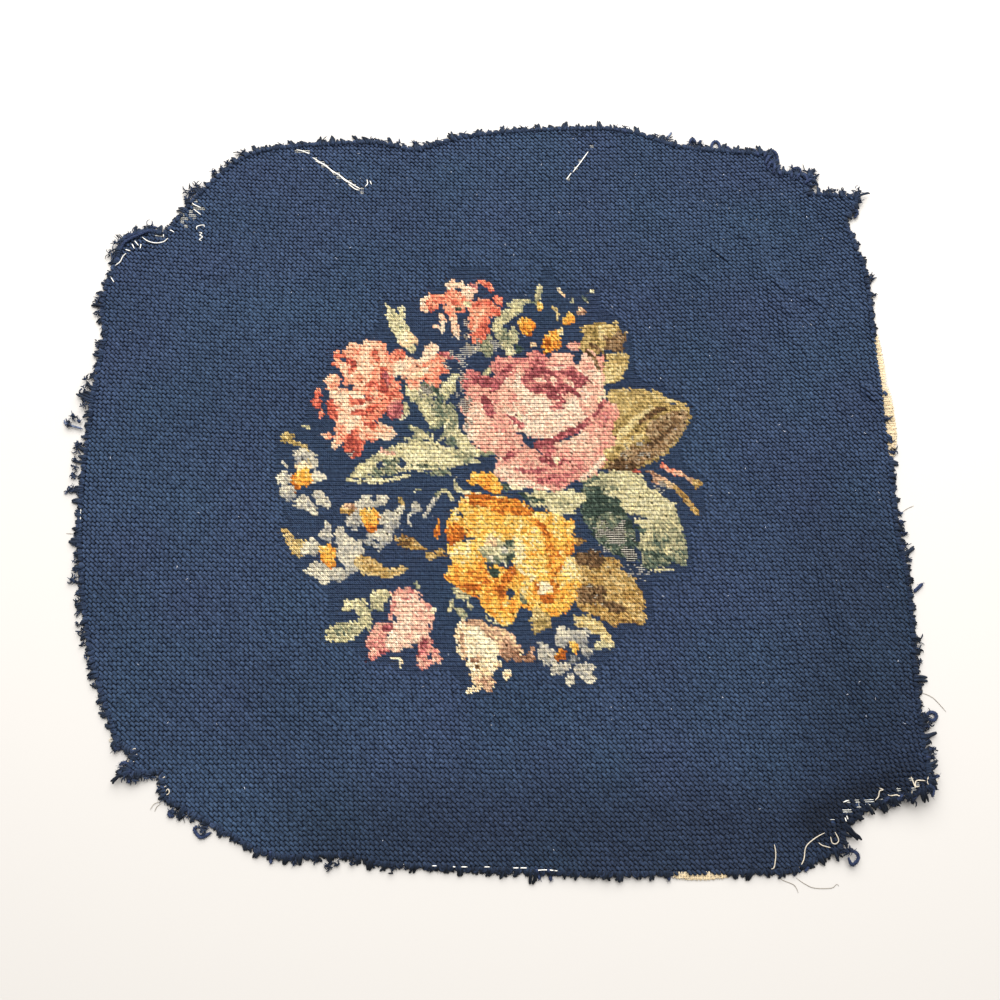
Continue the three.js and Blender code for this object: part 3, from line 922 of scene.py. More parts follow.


# The bouquet from its back to its front, as read off the photograph, in pixels.
BOUQUET = (
    # Foliage between the coral flowers and the rose
    leaf(Wool.SAGE, (512, 356), (494, 322), 16, 0.35, 0.5),
    leaf(Wool.SAGE, (490, 356), (478, 336), 16, 0.3, 0.45),
    *strokes(
        Wool.SAGE,
        (11, 60, 80, (519, 311), (506, 317), (494, 330)), (7, 75, 60, (509, 306), (519, 303), (530, 302)),
        (6, 50, 70, (537, 304), (538, 296), (540, 287)),
    ),
    *blobs(
        Wool.SAGE,
        (514, 338, 6, 9, 50, 70), (518, 351, 4.5, 5, 5, 15), (486, 346, 8, 12, 40, 60),
        (511, 354, 5, 6, 70, 85),
    ),
    leaf(Wool.SAGE, (437, 405), (459, 373), 14, 0.7, 0.9, ruffle=0.1),
    *blobs(
        Wool.SAGE,
        (430, 388, 10, 10, 15, 35), (414, 392, 8, 10, 65, 90), (424, 400, 10, 12, 45, 75),
        (436, 420, 9, 10, 40, 70), (446, 414, 9, 12, 35, 65), (420, 437, 9, 5, 40, 70, 20),
        (455, 436, 8, 9, 50, 80),
    ),
    *strokes(
        Wool.SAGE,
        (12, 85, 70, (422, 405), (431, 415), (434, 424)), (9, 30, 50, (440, 398), (437, 408), (444, 418)),
    ),
    *blobs(Wool.SAGE, (451, 429, 7, 9, 75, 90), (450, 443, 6, 5, 25, 40)),
    *strokes(
        Wool.SAGE,
        (7, 45, 60, (449, 408), (455, 418), (448, 432), (440, 440)),
        (6, 60, 80, (411, 428), (420, 434), (430, 440)), (3, 70, 50, (404, 439), (413, 441)),
        (4, 80, 90, (432, 436), (433, 445)),
    ),
    *blobs(Wool.SAGE, (438, 447, 3, 4, 80, 90)),
    *strokes(Wool.SAGE, (12, 70, 85, (462, 438), (466, 450), (478, 454))),
    *blobs(Wool.SAGE, (488, 452, 8, 5, 40, 70), (477, 440, 4, 6, 60, 80)),
    *strokes(Wool.SAGE, (5, 50, 80, (484, 375), (490, 371), (494, 368))),
    # Pale spear
    leaf(Wool.SAGE, (414, 354), (386, 305), 18, 0.75, 0.88, full=0.4, vein=0.05, midrib=0),
    petal(Wool.SAGE, (400, 326), (402, 306), 7, 0.8, 0.9),
    *blobs(Wool.TAN, (409, 341, 8, 8, 50, 75, -20)),
    # Upper coral flower
    *blobs(Wool.CORAL, (453, 287, 9, 6, 75, 95)),
    *blobs(Wool.ROSE, (471, 290.5, 8, 6, 75, 90)),
    *strokes(Wool.CORAL, (5, 50, 30, (477, 284), (484, 284), (491, 288), (490, 293))),
    *strokes(Wool.ROSE, (4, 30, 50, (472, 285), (477, 288))),
    *blobs(Wool.CORAL, (426, 305, 6, 10, 75, 95)),
    *strokes(Wool.CORAL, (4, 80, 90, (430, 296), (436, 298), (442, 297))),
    *blobs(
        Wool.CORAL,
        (434, 304, 7, 8, 30, 50), (453, 299, 18, 8, 30, 55), (466, 302, 10, 6, 40, 70),
        (455, 309, 14, 7, 35, 60), (484, 310, 15, 12, 30, 60), (479, 322, 12, 14, 35, 60),
        (498, 301, 5, 5, 30, 50), (477, 336, 7, 9, 25, 45),
    ),
    *strokes(
        Wool.CORAL,
        (6, 75, 95, (440, 314), (443, 322), (443, 334)), (4, 80, 95, (433, 327), (438, 328), (443, 330)),
        (8, 55, 95, (453, 314), (455, 326), (457, 338)), (5, 20, 35, (470, 306), (480, 305), (492, 304)),
        (5, 15, 30, (484, 326), (488, 332), (480, 342)), (5, 85, 95, (462, 284), (466, 296), (474, 298)),
        (7, 60, 75, (482, 314), (478, 322), (474, 330)), (4, 20, 40, (448, 302), (458, 304), (464, 300)),
    ),
    *blobs(Wool.SAGE, (468, 304.5, 5, 3, 70, 90), (459.5, 310, 3.5, 2.6, 5, 20)),
    *blobs(
        Wool.NAVY,
        (440.5, 308.5, 2.6, 5, 30, 40), (482.5, 294, 6, 5.5, 20, 40), (461, 322, 2.5, 5, 20, 40),
    ),
    *blobs(Wool.TAN, (473, 348, 3.4, 2.6, 80, 100)),
    *blobs(Wool.ROSE, (467.5, 337.5, 2.6, 2.4, 70, 90)),
    # Small coral flower
    petal(Wool.CORAL, (420, 372), (436, 344), 16, 0.7, 0.9, blunt=0.8),
    petal(Wool.CORAL, (418, 366), (447, 356), 15, 0.7, 0.5, blunt=0.8),
    petal(Wool.CORAL, (420, 368), (452, 370), 15, 0.7, 0.45, blunt=0.8),
    petal(Wool.CORAL, (420, 370), (440, 388), 14, 0.75, 0.4, blunt=0.8),
    petal(Wool.CORAL, (416, 368), (414, 392), 16, 0.8, 0.55, blunt=0.8),
    *strokes(Wool.ROSE, (5, 20, 35, (440, 354), (450, 356), (459, 360))),
    *strokes(Wool.CORAL, (4, 25, 40, (440, 360), (443, 368), (440, 376))),
    *blobs(Wool.CORAL, (412, 373, 13, 11, 55, 80), (404, 366, 12, 11, 65, 90), (398, 357, 9, 8, 25, 50)),
    *strokes(Wool.CORAL, (5, 85, 95, (418, 362), (430, 358), (436, 350))),
    *strokes(Wool.TAN, (5, 60, 90, (410, 378), (420, 376), (428, 370))),
    *strokes(Wool.CORAL, (3, 30, 50, (422, 366), (430, 366))),
    # Ruffled coral flower
    *blobs(
        Wool.CORAL,
        (338, 356, 6, 4.5, 30, 60), (339, 365, 6, 4.5, 30, 60), (333, 383, 8, 9, 50, 80),
        (355, 354, 12, 11, 35, 75), (374, 350, 12, 11, 45, 80), (364, 376, 25, 22, 45, 75),
        (385, 372, 16, 20, 40, 65), (388, 394, 17, 14, 40, 60), (346, 404, 19, 16, 50, 75),
        (366, 410, 22, 16, 40, 65), (350, 428, 16, 16, 45, 75), (366, 432, 16, 11, 50, 80),
    ),
    petal(Wool.CORAL, (362, 424), (395, 437), 17, 0.6, 0.85),
    petal(Wool.CORAL, (352, 424), (355, 459), 19, 0.45, 0.15),
    petal(Wool.CORAL, (344, 424), (334, 450), 9, 0.5, 0.75),
    *strokes(
        Wool.CORAL,
        (8, 75, 95, (348, 372), (360, 367), (372, 368)),
        (8, 80, 95, (332, 396), (344, 398), (356, 396), (364, 401)),
        (7, 90, 80, (345, 405), (352, 411), (366, 405)), (8, 85, 95, (362, 414), (352, 424), (350, 434)),
        (7, 85, 75, (362, 358), (366, 350), (368, 370)), (7, 15, 30, (346, 360), (354, 366), (350, 374)),
        (9, 15, 5, (383, 370), (386, 382), (384, 392)),
    ),
    *strokes(Wool.ROSE, (5, 10, 20, (386, 374), (388, 386))),
    *strokes(
        Wool.CORAL,
        (6, 20, 30, (372, 398), (358, 404), (350, 398)), (8, 12, 25, (331, 402), (332, 410), (336, 420)),
        (6, 15, 30, (352, 414), (366, 412), (378, 405)), (8, 20, 5, (352, 434), (354, 443), (355, 454)),
        (5, 30, 20, (366, 424), (378, 426)), (5, 25, 40, (374, 352), (378, 362)),
        (4, 20, 35, (366, 388), (376, 384), (380, 396)),
    ),
    *blobs(Wool.CORAL, (402, 370, 9, 8, 75, 95)),
    *strokes(
        Wool.CORAL,
        (5, 85, 95, (394, 376), (404, 374), (414, 376)), (5, 25, 40, (390, 400), (396, 392), (402, 396)),
    ),
    *blobs(Wool.ROSE, (396, 411, 8, 10, 10, 35, -20)),
    *strokes(Wool.SAGE, (5, 75, 90, (405, 404), (407, 412), (402, 420))),
    *blobs(
        Wool.NAVY,
        (343, 360, 3, 2, 30, 40), (350.5, 388.5, 3.6, 3.2, 10, 20), (398.5, 379.5, 3, 3, 10, 30),
        (405, 386, 2.6, 2, 30, 40),
    ),
    *blobs(
        Wool.CORAL,
        (318, 403, 5, 7.5, 20, 40), (321, 415, 2.6, 4, 40, 60), (328, 437, 6, 4.5, 50, 80),
        (319, 392, 2.4, 2.4, 50, 70),
    ),
    # Long pale leaf
    leaf(
        Wool.SAGE, (480, 463), (347, 480), 30, 0.75, 0.8,
        bow=0.12, full=0.5, ruffle=0.03, ribs=8, midrib=0, vein=0.06,
    ),
    *blobs(Wool.SAGE, (430, 462, 30, 9, 75, 95, 3)),
    *strokes(Wool.SAGE, (8, 80, 95, (384, 462), (404, 454), (424, 452), (442, 456))),
    *blobs(Wool.SAGE, (384, 470, 14, 6, 35, 55, 12), (394, 463, 8, 4, 20, 40), (368, 478, 6, 3, 35, 50)),
    *strokes(
        Wool.SAGE,
        (4, 85, 95, (348, 481), (366, 482), (392, 480), (410, 475)),
        (3, 45, 60, (412, 466), (428, 467), (446, 468)),
    ),
    *blobs(Wool.NAVY, (403, 464, 4.6, 4.8, 20, 30), (381, 466, 3, 3, 20, 30)),
    *blobs(Wool.SAGE, (440, 474, 12, 3, 40, 60), (466, 457, 9, 6, 35, 60)),
    *strokes(Wool.ROSE, (3.5, 60, 80, (381, 449), (388, 455), (396, 453))),
    # Three-lobed olive leaf
    *blobs(Wool.OLIVE, (601, 336, 20, 14, 40, 65, -6), (592, 347, 14, 9, 35, 60)),
    *blobs(Wool.BROWN, (612, 341, 13, 13, 35, 70)),
    *blobs(Wool.OLIVE, (607, 331, 9, 7, 60, 85)),
    petal(Wool.OLIVE, (606, 356), (628, 368), 22, 0.75, 0.6),
    *blobs(Wool.OLIVE, (611, 373, 14, 11, 60, 85)),
    petal(Wool.OLIVE, (612, 330), (617, 322), 7, 0.6, 0.8),
    *strokes(Wool.OLIVE, (5, 95, 75, (601, 330), (602, 350))),
    *strokes(Wool.BROWN, (6, 30, 45, (604, 358), (600, 372), (599, 388))),
    *strokes(Wool.OLIVE, (6, 80, 100, (600, 384), (606, 382), (620, 372))),
    *strokes(Wool.BROWN, (5, 20, 35, (590, 344), (600, 352))),
    *blobs(Wool.BROWN, (626, 333, 2, 2, 70, 90)),
    *blobs(Wool.ROSE, (574, 347, 6, 5, 45, 70)),
    # Large olive and brown leaf
    leaf(
        Wool.OLIVE, (598, 468), (690, 409), 52, 0.45, 0.55,
        full=0.5, blunt=0.65, ruffle=0.02, ribs=4, midrib=0, vein=0.06,
    ),
    *blobs(Wool.OLIVE, (634, 406, 33, 18, 45, 70, 6), (616, 426, 18, 24, 40, 65)),
    petal(Wool.BROWN, (616, 462), (688, 410), 28, 0.5, 0.6, bow=0.08, full=0.5, blunt=0.7),
    *blobs(
        Wool.BROWN,
        (636, 456, 20, 12, 40, 60, 28), (662, 424, 16, 10, 45, 70, 36), (622, 466, 15, 8, 15, 35, 10),
    ),
    *blobs(Wool.OLIVE, (640, 440, 9, 7, 35, 60), (656, 412, 14, 6, 35, 60, 20)),
    *strokes(
        Wool.OLIVE,
        (7, 80, 98, (604, 456), (612, 444), (624, 432), (636, 420), (652, 408)),
        (5, 85, 70, (612, 420), (620, 414), (630, 404)), (4, 90, 75, (654, 397), (668, 401), (683, 405)),
    ),
    *strokes(
        Wool.BROWN,
        (6, 10, 25, (664, 408), (652, 414), (640, 424)), (5, 15, 30, (648, 446), (660, 438), (672, 426)),
    ),
    *strokes(Wool.OLIVE, (5, 75, 90, (614, 446), (630, 442), (644, 434))),
    *blobs(Wool.OLIVE, (608, 452, 7, 6, 70, 95)),
    *strokes(Wool.CORAL, (4, 20, 35, (632, 473), (640, 472))),
    # Sage leaves to the right
    *blobs(
        Wool.SAGE,
        (631, 497, 37, 19, 75, 90, -24), (603, 483, 18, 11, 45, 70), (628, 481, 15, 9, 80, 90),
        (662, 508, 13, 10, 65, 85, -20), (672, 505, 4, 3, 80, 90),
    ),
    leaf(
        Wool.SAGE, (584, 488), (632, 556), 40, 0.2, 0.12, full=0.5, blunt=0.5, midrib=0, vein=0.14
    ),
    *blobs(
        Wool.SAGE,
        (596, 505, 12, 16, 0, 12, -20), (608, 528, 13, 13, 15, 45), (624, 545, 11, 12, 10, 40),
        (662, 540, 23, 22, 35, 70), (670, 528, 13, 14, 45, 75), (655, 558, 15, 11, 20, 55),
        (676, 552, 12, 14, 40, 65),
    ),
    *strokes(
        Wool.SAGE,
        (6, 15, 30, (642, 552), (658, 556), (674, 560)), (5, 10, 25, (636, 528), (650, 536), (660, 548)),
    ),
    *blobs(Wool.SAGE, (667, 550, 4, 4.5, 85, 95), (648, 538, 5, 5, 75, 90)),
    *strokes(
        Wool.SAGE,
        (7, 85, 95, (634, 520), (646, 524), (656, 514)), (6, 60, 80, (658, 520), (660, 530)),
        (3, 80, 90, (650, 571), (664, 570), (673, 570)),
    ),
    *strokes(Wool.NAVY, (8, 20, 40, (630, 550), (630, 566))),
    *blobs(Wool.SAGE, (563, 502, 21, 13, 75, 90), (545, 499, 20, 8, 60, 85, -8)),
    *blobs(Wool.TAN, (516, 487, 9, 4.5, 85, 100), (530, 486, 8, 4, 80, 100)),
    *blobs(Wool.SAGE, (505, 488, 4, 4, 15, 30)),
    *strokes(
        Wool.SAGE,
        (4, 10, 30, (520, 494), (530, 500), (544, 502)), (4, 25, 35, (584, 485), (594, 480), (602, 478)),
    ),
    # Sprig
    *strokes(Wool.CORAL, (6, 35, 60, (661, 466), (670, 471), (682, 475))),
    *strokes(
        Wool.TAN,
        (4, 20, 40, (682, 475), (690, 480), (696, 484)), (9, 15, 45, (647, 474), (658, 480), (672, 487)),
    ),
    *strokes(Wool.OCHRE, (6, 40, 75, (672, 486), (685, 499), (697, 514))),
    *blobs(Wool.OCHRE, (696.5, 484, 5, 4.5, 45, 80)),
    *blobs(Wool.NAVY, (648, 478, 4, 3, 30, 40)),
    *strokes(Wool.NAVY, (3, 20, 30, (664, 472), (672, 482))),
    # Ochre leaf
    leaf(
        Wool.OCHRE, (566, 562), (646, 620), 56, 0.5, 0.6,
        full=0.45, blunt=0.62, ruffle=0.05, ribs=6, vein=0.08, midrib=0,
    ),
    *blobs(Wool.OCHRE, (618, 590, 19, 16, 55, 80), (602, 566, 18, 9, 40, 65)),
    *blobs(
        Wool.BROWN,
        (588, 560, 15, 8, 15, 40), (590, 594, 17, 9, 20, 45), (612, 606, 14, 5, 20, 40, -15),
    ),
    petal(Wool.OCHRE, (624, 600), (646, 620), 12, 0.7, 0.8),
    *blobs(Wool.OCHRE, (584, 576, 9, 8, 45, 80), (579, 541.5, 6, 4, 10, 35)),
    # Yellow flower
    *blobs(
        Wool.GOLD,
        (475, 480, 7, 7, 50, 75), (487, 482, 9, 10, 30, 60), (496, 489, 6, 9, 30, 70),
        (498, 520, 42, 26, 45, 75, -10), (538, 528, 30, 18, 50, 80), (562, 530, 13, 12, 50, 75),
        (540, 555, 34, 28, 50, 75), (466, 560, 18, 20, 45, 80), (466, 574, 21, 14, 35, 60),
        (474, 586, 16, 10, 30, 55), (500, 586, 26, 18, 40, 65),
    ),
    petal(Wool.GOLD, (500, 576), (506, 628), 42, 0.45, 0.65, blunt=0.75, full=0.4, crease=0),
    *blobs(
        Wool.GOLD,
        (455, 528, 9, 16, 30, 75, 0, 90), (455, 535, 9, 10, 2, 30), (456, 512, 5, 4, 60, 80),
        (547, 591, 27, 22, 50, 70), (552, 606, 16, 10, 45, 70), (570, 575, 11, 15, 70, 95),
        (566, 592, 9, 14, 55, 70), (486, 501, 22, 7, 5, 35, -4), (510, 508, 24, 8, 20, 45, -14),
    ),
    *strokes(Wool.GOLD, (5, 0, 15, (470, 497), (488, 498), (508, 502))),
    *blobs(
        Wool.GOLD,
        (483, 525, 18, 12, 55, 70), (522, 524, 16, 8, 60, 75), (500, 541, 22, 9, 65, 80),
        (462, 554, 8, 12, 75, 95),
    ),
    *strokes(
        Wool.GOLD,
        (6, 55, 15, (528, 520), (538, 524), (544, 532)), (5, 30, 8, (541, 524), (548, 538), (560, 556)),
    ),
    *blobs(Wool.GOLD, (553, 546, 8, 11, 25, 50, 25), (566, 545, 10, 9, 35, 55)),
    *strokes(Wool.GOLD, (11, 95, 85, (518, 540), (519, 556), (523, 572))),
    *blobs(Wool.GOLD, (534, 568, 13, 10, 65, 80), (473, 588, 8, 5, 2, 20), (481, 574, 8, 10, 25, 50)),
    *strokes(
        Wool.GOLD,
        (9, 10, 25, (513, 570), (508, 578), (503, 588)), (6, 10, 30, (499, 588), (503, 596)),
        (5, 95, 85, (534, 578), (524, 588), (522, 598)),
    ),
    *blobs(Wool.TAN, (544, 588, 8, 7, 70, 95)),
    *blobs(Wool.GOLD, (547, 600, 7, 4.5, 0, 15)),
    *strokes(
        Wool.GOLD,
        (5, 15, 35, (552, 580), (556, 590), (552, 600)), (4, 30, 45, (536, 584), (536, 598)),
    ),
    *blobs(Wool.GOLD, (556, 566, 8, 7, 30, 55)),
    *blobs(Wool.OLIVE, (540, 620, 9, 11, 50, 75, 20), (536, 630, 6, 4, 60, 80)),
    *blobs(Wool.SAGE, (498, 552, 16, 12, 30, 75)),
    *strokes(
        Wool.SAGE,
        (4, 70, 95, (486, 546), (494, 550), (502, 552)), (3, 80, 95, (494, 552), (502, 560), (506, 566)),
    ),
    *strokes(Wool.WHITE, (3, 60, 85, (500, 548), (508, 553)), (3, 70, 90, (488, 556), (494, 562))),
    *strokes(Wool.SAGE, (5, 10, 30, (506, 546), (512, 543)), (5, 0, 20, (508, 560), (514, 556))),
    *blobs(Wool.SAGE, (494, 573, 6, 5, 0, 15)),
    *blobs(Wool.TAN, (491, 543, 6, 4, 40, 70)),
    *blobs(Wool.NAVY, (510.5, 593, 4, 4, 10, 30)),
    petal(Wool.GOLD, (438, 518), (437, 540), 7, 0.5, 0.2),
    *strokes(
        Wool.SAGE,
        (4, 60, 40, (520, 596), (526, 604)), (1.8, 80, 95, (484, 611), (489, 619), (498, 625)),
    ),
    # Left daisy
    *strokes(Wool.OLIVE, (5, 60, 80, (300, 443), (307, 452), (309, 462))),
    *blobs(Wool.OLIVE, (287, 439, 6, 6, 55, 80)),
    *strokes(Wool.OLIVE, (4, 40, 60, (290, 443), (302, 446))),
    *blobs(Wool.WHITE, (303, 458, 8, 10, 35, 75), (313, 463, 5, 8, 60, 90)),
    petal(Wool.WHITE, (300, 480), (276, 478), 13, 0.5, 0.9),
    petal(Wool.WHITE, (302, 478), (327, 477), 11, 0.6, 0.95),
    *blobs(Wool.WHITE, (289, 493, 8, 8, 40, 75), (305, 503, 10, 7, 50, 85)),
    petal(Wool.WHITE, (308, 500), (316, 516), 8, 0.6, 0.8),
    petal(Wool.WHITE, (310, 486), (331, 509), 11, 0.5, 0.8),
    *blobs(Wool.TAN, (304, 468, 8, 5, 60, 80)),
    *blobs(Wool.NAVY, (311, 491, 3, 4, 30, 40)),
    *blobs(Wool.GOLD, (298, 482, 6, 9, 20, 40), (304, 478, 8, 9, 50, 75)),
    # Middle daisy
    *blobs(Wool.WHITE, (356, 519, 8, 13, 40, 75)),
    *blobs(Wool.OCHRE, (347, 510, 7, 5, 30, 70)),
    petal(Wool.TAN, (364, 508), (343, 507), 7, 0.3, 0.5),
    *blobs(Wool.WHITE, (365, 503, 9, 7, 60, 95)),
    petal(Wool.WHITE, (372, 508), (388, 497), 10, 0.55, 0.85),
    *blobs(Wool.WHITE, (390, 520, 11, 9, 50, 85)),
    petal(Wool.WHITE, (392, 516), (404, 507), 8, 0.7, 0.9),
    *strokes(Wool.OLIVE, (4, 50, 70, (400, 500), (403, 505))),
    *blobs(Wool.WHITE, (382, 536, 12, 8, 50, 80)),
    petal(Wool.WHITE, (362, 540), (384, 549), 8, 0.5, 0.75),
    leaf(Wool.OCHRE, (392, 538), (428, 550), 11, 0.4, 0.7),
    *blobs(Wool.OCHRE, (404, 541, 8, 5, 20, 50)),
    *blobs(Wool.NAVY, (360, 533, 3, 5, 30, 40)),
    *blobs(Wool.GOLD, (371, 520, 8, 13, 35, 70, 20), (372, 528, 5, 5, 20, 40)),
    # Lower daisy
    petal(Wool.WHITE, (338, 548), (341, 527), 11, 0.5, 0.85),
    petal(Wool.WHITE, (330, 546), (326, 521), 8, 0.5, 0.8),
    petal(Wool.WHITE, (333, 540), (318, 534), 8, 0.4, 0.7),
    *strokes(Wool.OCHRE, (8, 70, 90, (285, 530), (291, 540), (299, 556))),
    *blobs(Wool.OLIVE, (303, 546, 8, 6, 55, 80)),
    *blobs(
        Wool.WHITE,
        (311, 549, 9, 8, 55, 90), (349, 550, 13, 13, 50, 85), (353, 564, 12, 9, 55, 85),
        (320, 571, 12, 9, 55, 95),
    ),
    petal(Wool.WHITE, (322, 566), (326, 586), 12, 0.7, 0.95),
    *blobs(Wool.WHITE, (338, 575, 10, 7, 60, 90)),
    leaf(Wool.OCHRE, (354, 559), (388, 575), 16, 0.9, 0.75),
    *strokes(Wool.OCHRE, (8, 60, 85, (366, 567), (388, 573), (406, 569))),
    *blobs(Wool.GOLD, (328.5, 555, 8, 11, 30, 75, 25), (331, 562, 6, 5, 45, 65)),
    # Bits between the daisies and the yellow flower
    *blobs(Wool.WHITE, (416, 508, 6, 6, 50, 85)),
    *strokes(
        Wool.WHITE,
        (4, 60, 80, (438, 496), (430, 508), (425, 516)), (2.5, 70, 50, (410, 514), (408, 522), (411, 526)),
    ),
    *strokes(Wool.SAGE, (2.5, 80, 60, (413, 493), (420, 490)), (3, 70, 80, (303, 427), (310, 428))),
    *strokes(Wool.WHITE, (3, 70, 80, (283, 461), (287, 468))),
    *strokes(
        Wool.SAGE,
        (4, 50, 80, (436, 496), (446, 492), (452, 500)), (5, 70, 90, (455, 482), (458, 490), (470, 494)),
    ),
    *blobs(Wool.OCHRE, (431, 556, 5, 5, 50, 80), (440, 553, 6, 4, 40, 70)),
    # Small leaves by the pink bud
    *blobs(
        Wool.SAGE,
        (380, 599, 9, 11, 60, 85, -24), (357, 608, 13, 8, 65, 90, -10), (365, 620, 7, 11, 60, 85, 20),
    ),
    leaf(Wool.SAGE, (366, 624), (325, 640), 20, 0.7, 0.75, full=0.5, vein=0.1),
    *blobs(Wool.SAGE, (344, 628, 17, 7, 50, 80, 18)),
    *blobs(Wool.NAVY, (349, 616.5, 9, 5.5, 30, 40, 8)),
    *blobs(Wool.SAGE, (339, 633, 6, 3, 30, 50)),
    *strokes(Wool.SAGE, (3, 40, 60, (416, 582), (419, 589))),
    # Pink bud
    *blobs(
        Wool.ROSE,
        (378, 640, 10, 13, 35, 65, -15), (374, 655, 5, 5, 40, 75), (383, 630, 8, 7, 40, 65, 30),
        (425, 648, 8, 13, 30, 55), (424, 663, 7, 7, 40, 80),
    ),
    petal(Wool.ROSE, (426, 640), (441, 666), 10, 0.4, 0.65, blunt=0.8),
    *blobs(
        Wool.ROSE,
        (406, 608, 14, 20, 70, 88), (415, 618, 15, 20, 65, 85), (408, 634, 20, 14, 65, 88),
        (398, 642, 12, 9, 75, 95), (403, 594, 9, 6, 40, 65),
    ),
    *strokes(
        Wool.ROSE,
        (4, 45, 60, (396, 600), (392, 610), (390, 620)), (4, 50, 70, (422, 600), (430, 610), (431, 628)),
        (3, 35, 50, (410, 590), (412, 594)),
    ),
    *blobs(Wool.ROSE, (388, 628, 5, 4, 10, 25)),
    *strokes(
        Wool.ROSE,
        (5, 10, 30, (424, 640), (422, 650), (418, 656)), (3, 15, 30, (380, 652), (388, 650)),
    ),
    *strokes(Wool.TAN, (3, 90, 95, (431, 612), (436, 610))),
    *blobs(Wool.NAVY, (407, 652, 5, 3.5, 30, 40), (414, 650, 3, 5, 30, 40)),
    *strokes(Wool.TAN, (3.5, 85, 100, (392, 658), (400, 660), (401, 668))),
    *blobs(Wool.NAVY, (431, 656, 2, 4, 30, 40)),
    # Tan bud
    petal(Wool.TAN, (466, 626), (521, 655), 22, 0.3, 0.5, bow=-0.05),
    *blobs(
        Wool.TAN,
        (466, 634, 10, 13, 60, 85), (474, 645, 17, 16, 75, 95, -30), (487, 656, 19, 13, 80, 100),
        (482, 668, 14, 13, 75, 95), (484, 679, 10, 9, 45, 75),
    ),
    petal(Wool.TAN, (482, 676), (492, 693), 11, 0.5, 0.25),
    *strokes(
        Wool.TAN,
        (6, 30, 55, (463, 623), (478, 624), (490, 632), (502, 642)),
        (5, 35, 50, (461, 632), (462, 645), (466, 658)),
    ),
    *blobs(Wool.TAN, (510, 653, 9, 7, 10, 40), (516, 647, 4, 4, 30, 50), (476, 660, 4, 3, 20, 35)),
    *blobs(Wool.BROWN, (477, 667, 2.5, 2.5, 20, 40)),
    *blobs(Wool.TAN, (490, 683, 7, 4, 20, 45)),
    *blobs(Wool.NAVY, (499, 659, 2.8, 2.8, 20, 30)),
    *blobs(Wool.TAN, (530, 658.5, 5, 4.5, 5, 30)),
    *strokes(
        Wool.TAN,
        (4, 10, 15, (514, 659), (524, 659), (530, 658)), (3, 30, 50, (530, 655), (533, 649)),
    ),
    *blobs(Wool.TAN, (472, 690.5, 6.5, 3.5, 70, 90, 8), (507, 675, 4.5, 5.5, 70, 95)),
    *strokes(
        Wool.SAGE,
        (7, 55, 80, (455, 589), (460, 595), (468, 598)), (3, 60, 80, (453, 600), (450, 606), (451, 612)),
        (5, 50, 70, (456, 608), (462, 614), (466, 619)), (3, 60, 80, (468, 602), (472, 610)),
    ),
    # Right daisy
    leaf(Wool.OLIVE, (573, 617), (606, 632), 15, 0.85, 0.75),
    *strokes(Wool.OLIVE, (8, 80, 90, (598, 625), (605, 636), (612, 646))),
    *blobs(Wool.SAGE, (610, 646, 5, 3.5, 80, 95), (600, 646, 5, 4, 50, 80)),
    *blobs(Wool.WHITE, (564, 638, 9, 10, 50, 90), (580, 638, 9, 9, 30, 70), (548, 657, 10, 9, 40, 85)),
    petal(Wool.WHITE, (552, 650), (538, 642), 6, 0.6, 0.9),
    *blobs(Wool.WHITE, (587, 652, 6, 5, 40, 70), (560, 667, 9, 6, 60, 95)),
    petal(Wool.WHITE, (572, 668), (595, 668), 12, 0.5, 0.8),
    petal(Wool.WHITE, (574, 670), (596, 682), 12, 0.5, 0.85),
    petal(Wool.WHITE, (572, 672), (569, 686), 10, 0.6, 0.9),
    petal(Wool.WHITE, (548, 664), (556, 676), 5, 0.5, 0.8),
    *blobs(Wool.WHITE, (574, 660, 6, 3, 10, 30, 20)),
    *blobs(Wool.GOLD, (561, 655, 6, 7, 10, 40), (573, 647, 5, 6, 55, 80)),
    # Rose: outer petals, its bowl, then its heart
    petal(Wool.ROSE, (500, 404), (463, 374), 26, 0.2, 0.35, blunt=0.5),
    *blobs(
        Wool.ROSE,
        (478, 386, 16, 13, 20, 40), (510, 372, 20, 17, 25, 50), (536, 366, 16, 13, 25, 45),
        (562, 364, 15, 12, 50, 70), (588, 382, 15, 24, 50, 80), (490, 404, 27, 24, 35, 65),
        (484, 424, 21, 20, 65, 95, 0, 200), (500, 440, 24, 17, 50, 80), (600, 420, 17, 24, 35, 60, -14),
        (594, 440, 20, 15, 50, 75), (520, 464, 27, 20, 40, 65, -8), (575, 458, 30, 22, 50, 80, 8),
        (548, 472, 38, 19, 45, 65), (512, 474, 17, 9, 60, 90),
    ),
    *blobs(Wool.TAN, (600, 394, 5, 14, 80, 100)),
    *blobs(
        Wool.ROSE,
        (548, 400, 46, 40, 55, 75), (548, 418, 40, 21, 80, 100), (522, 398, 13, 20, 75, 100, -10),
        (500, 418, 12, 16, 50, 75), (577, 406, 13, 10, 85, 100), (588, 392, 12, 24, 60, 85),
        (554, 380, 32, 17, 20, 40),
    ),
    *strokes(
        Wool.ROSE,
        (9, 15, 30, (536, 362), (530, 376), (524, 384)), (8, 15, 30, (508, 368), (500, 380), (492, 392)),
        (8, 10, 25, (476, 380), (486, 384), (496, 380)), (9, 10, 20, (484, 398), (488, 408), (492, 416)),
        (7, 15, 25, (508, 414), (516, 420), (522, 428)), (5, 70, 85, (519, 366), (518, 378)),
        (5, 80, 100, (504, 404), (508, 412), (514, 416)),
    ),
    *blobs(Wool.ROSE, (511, 396, 6, 8, 55, 70)),
    *strokes(
        Wool.ROSE,
        (6, 5, 15, (540, 388), (536, 394)), (6, 0, 15, (529, 380), (540, 372), (552, 374)),
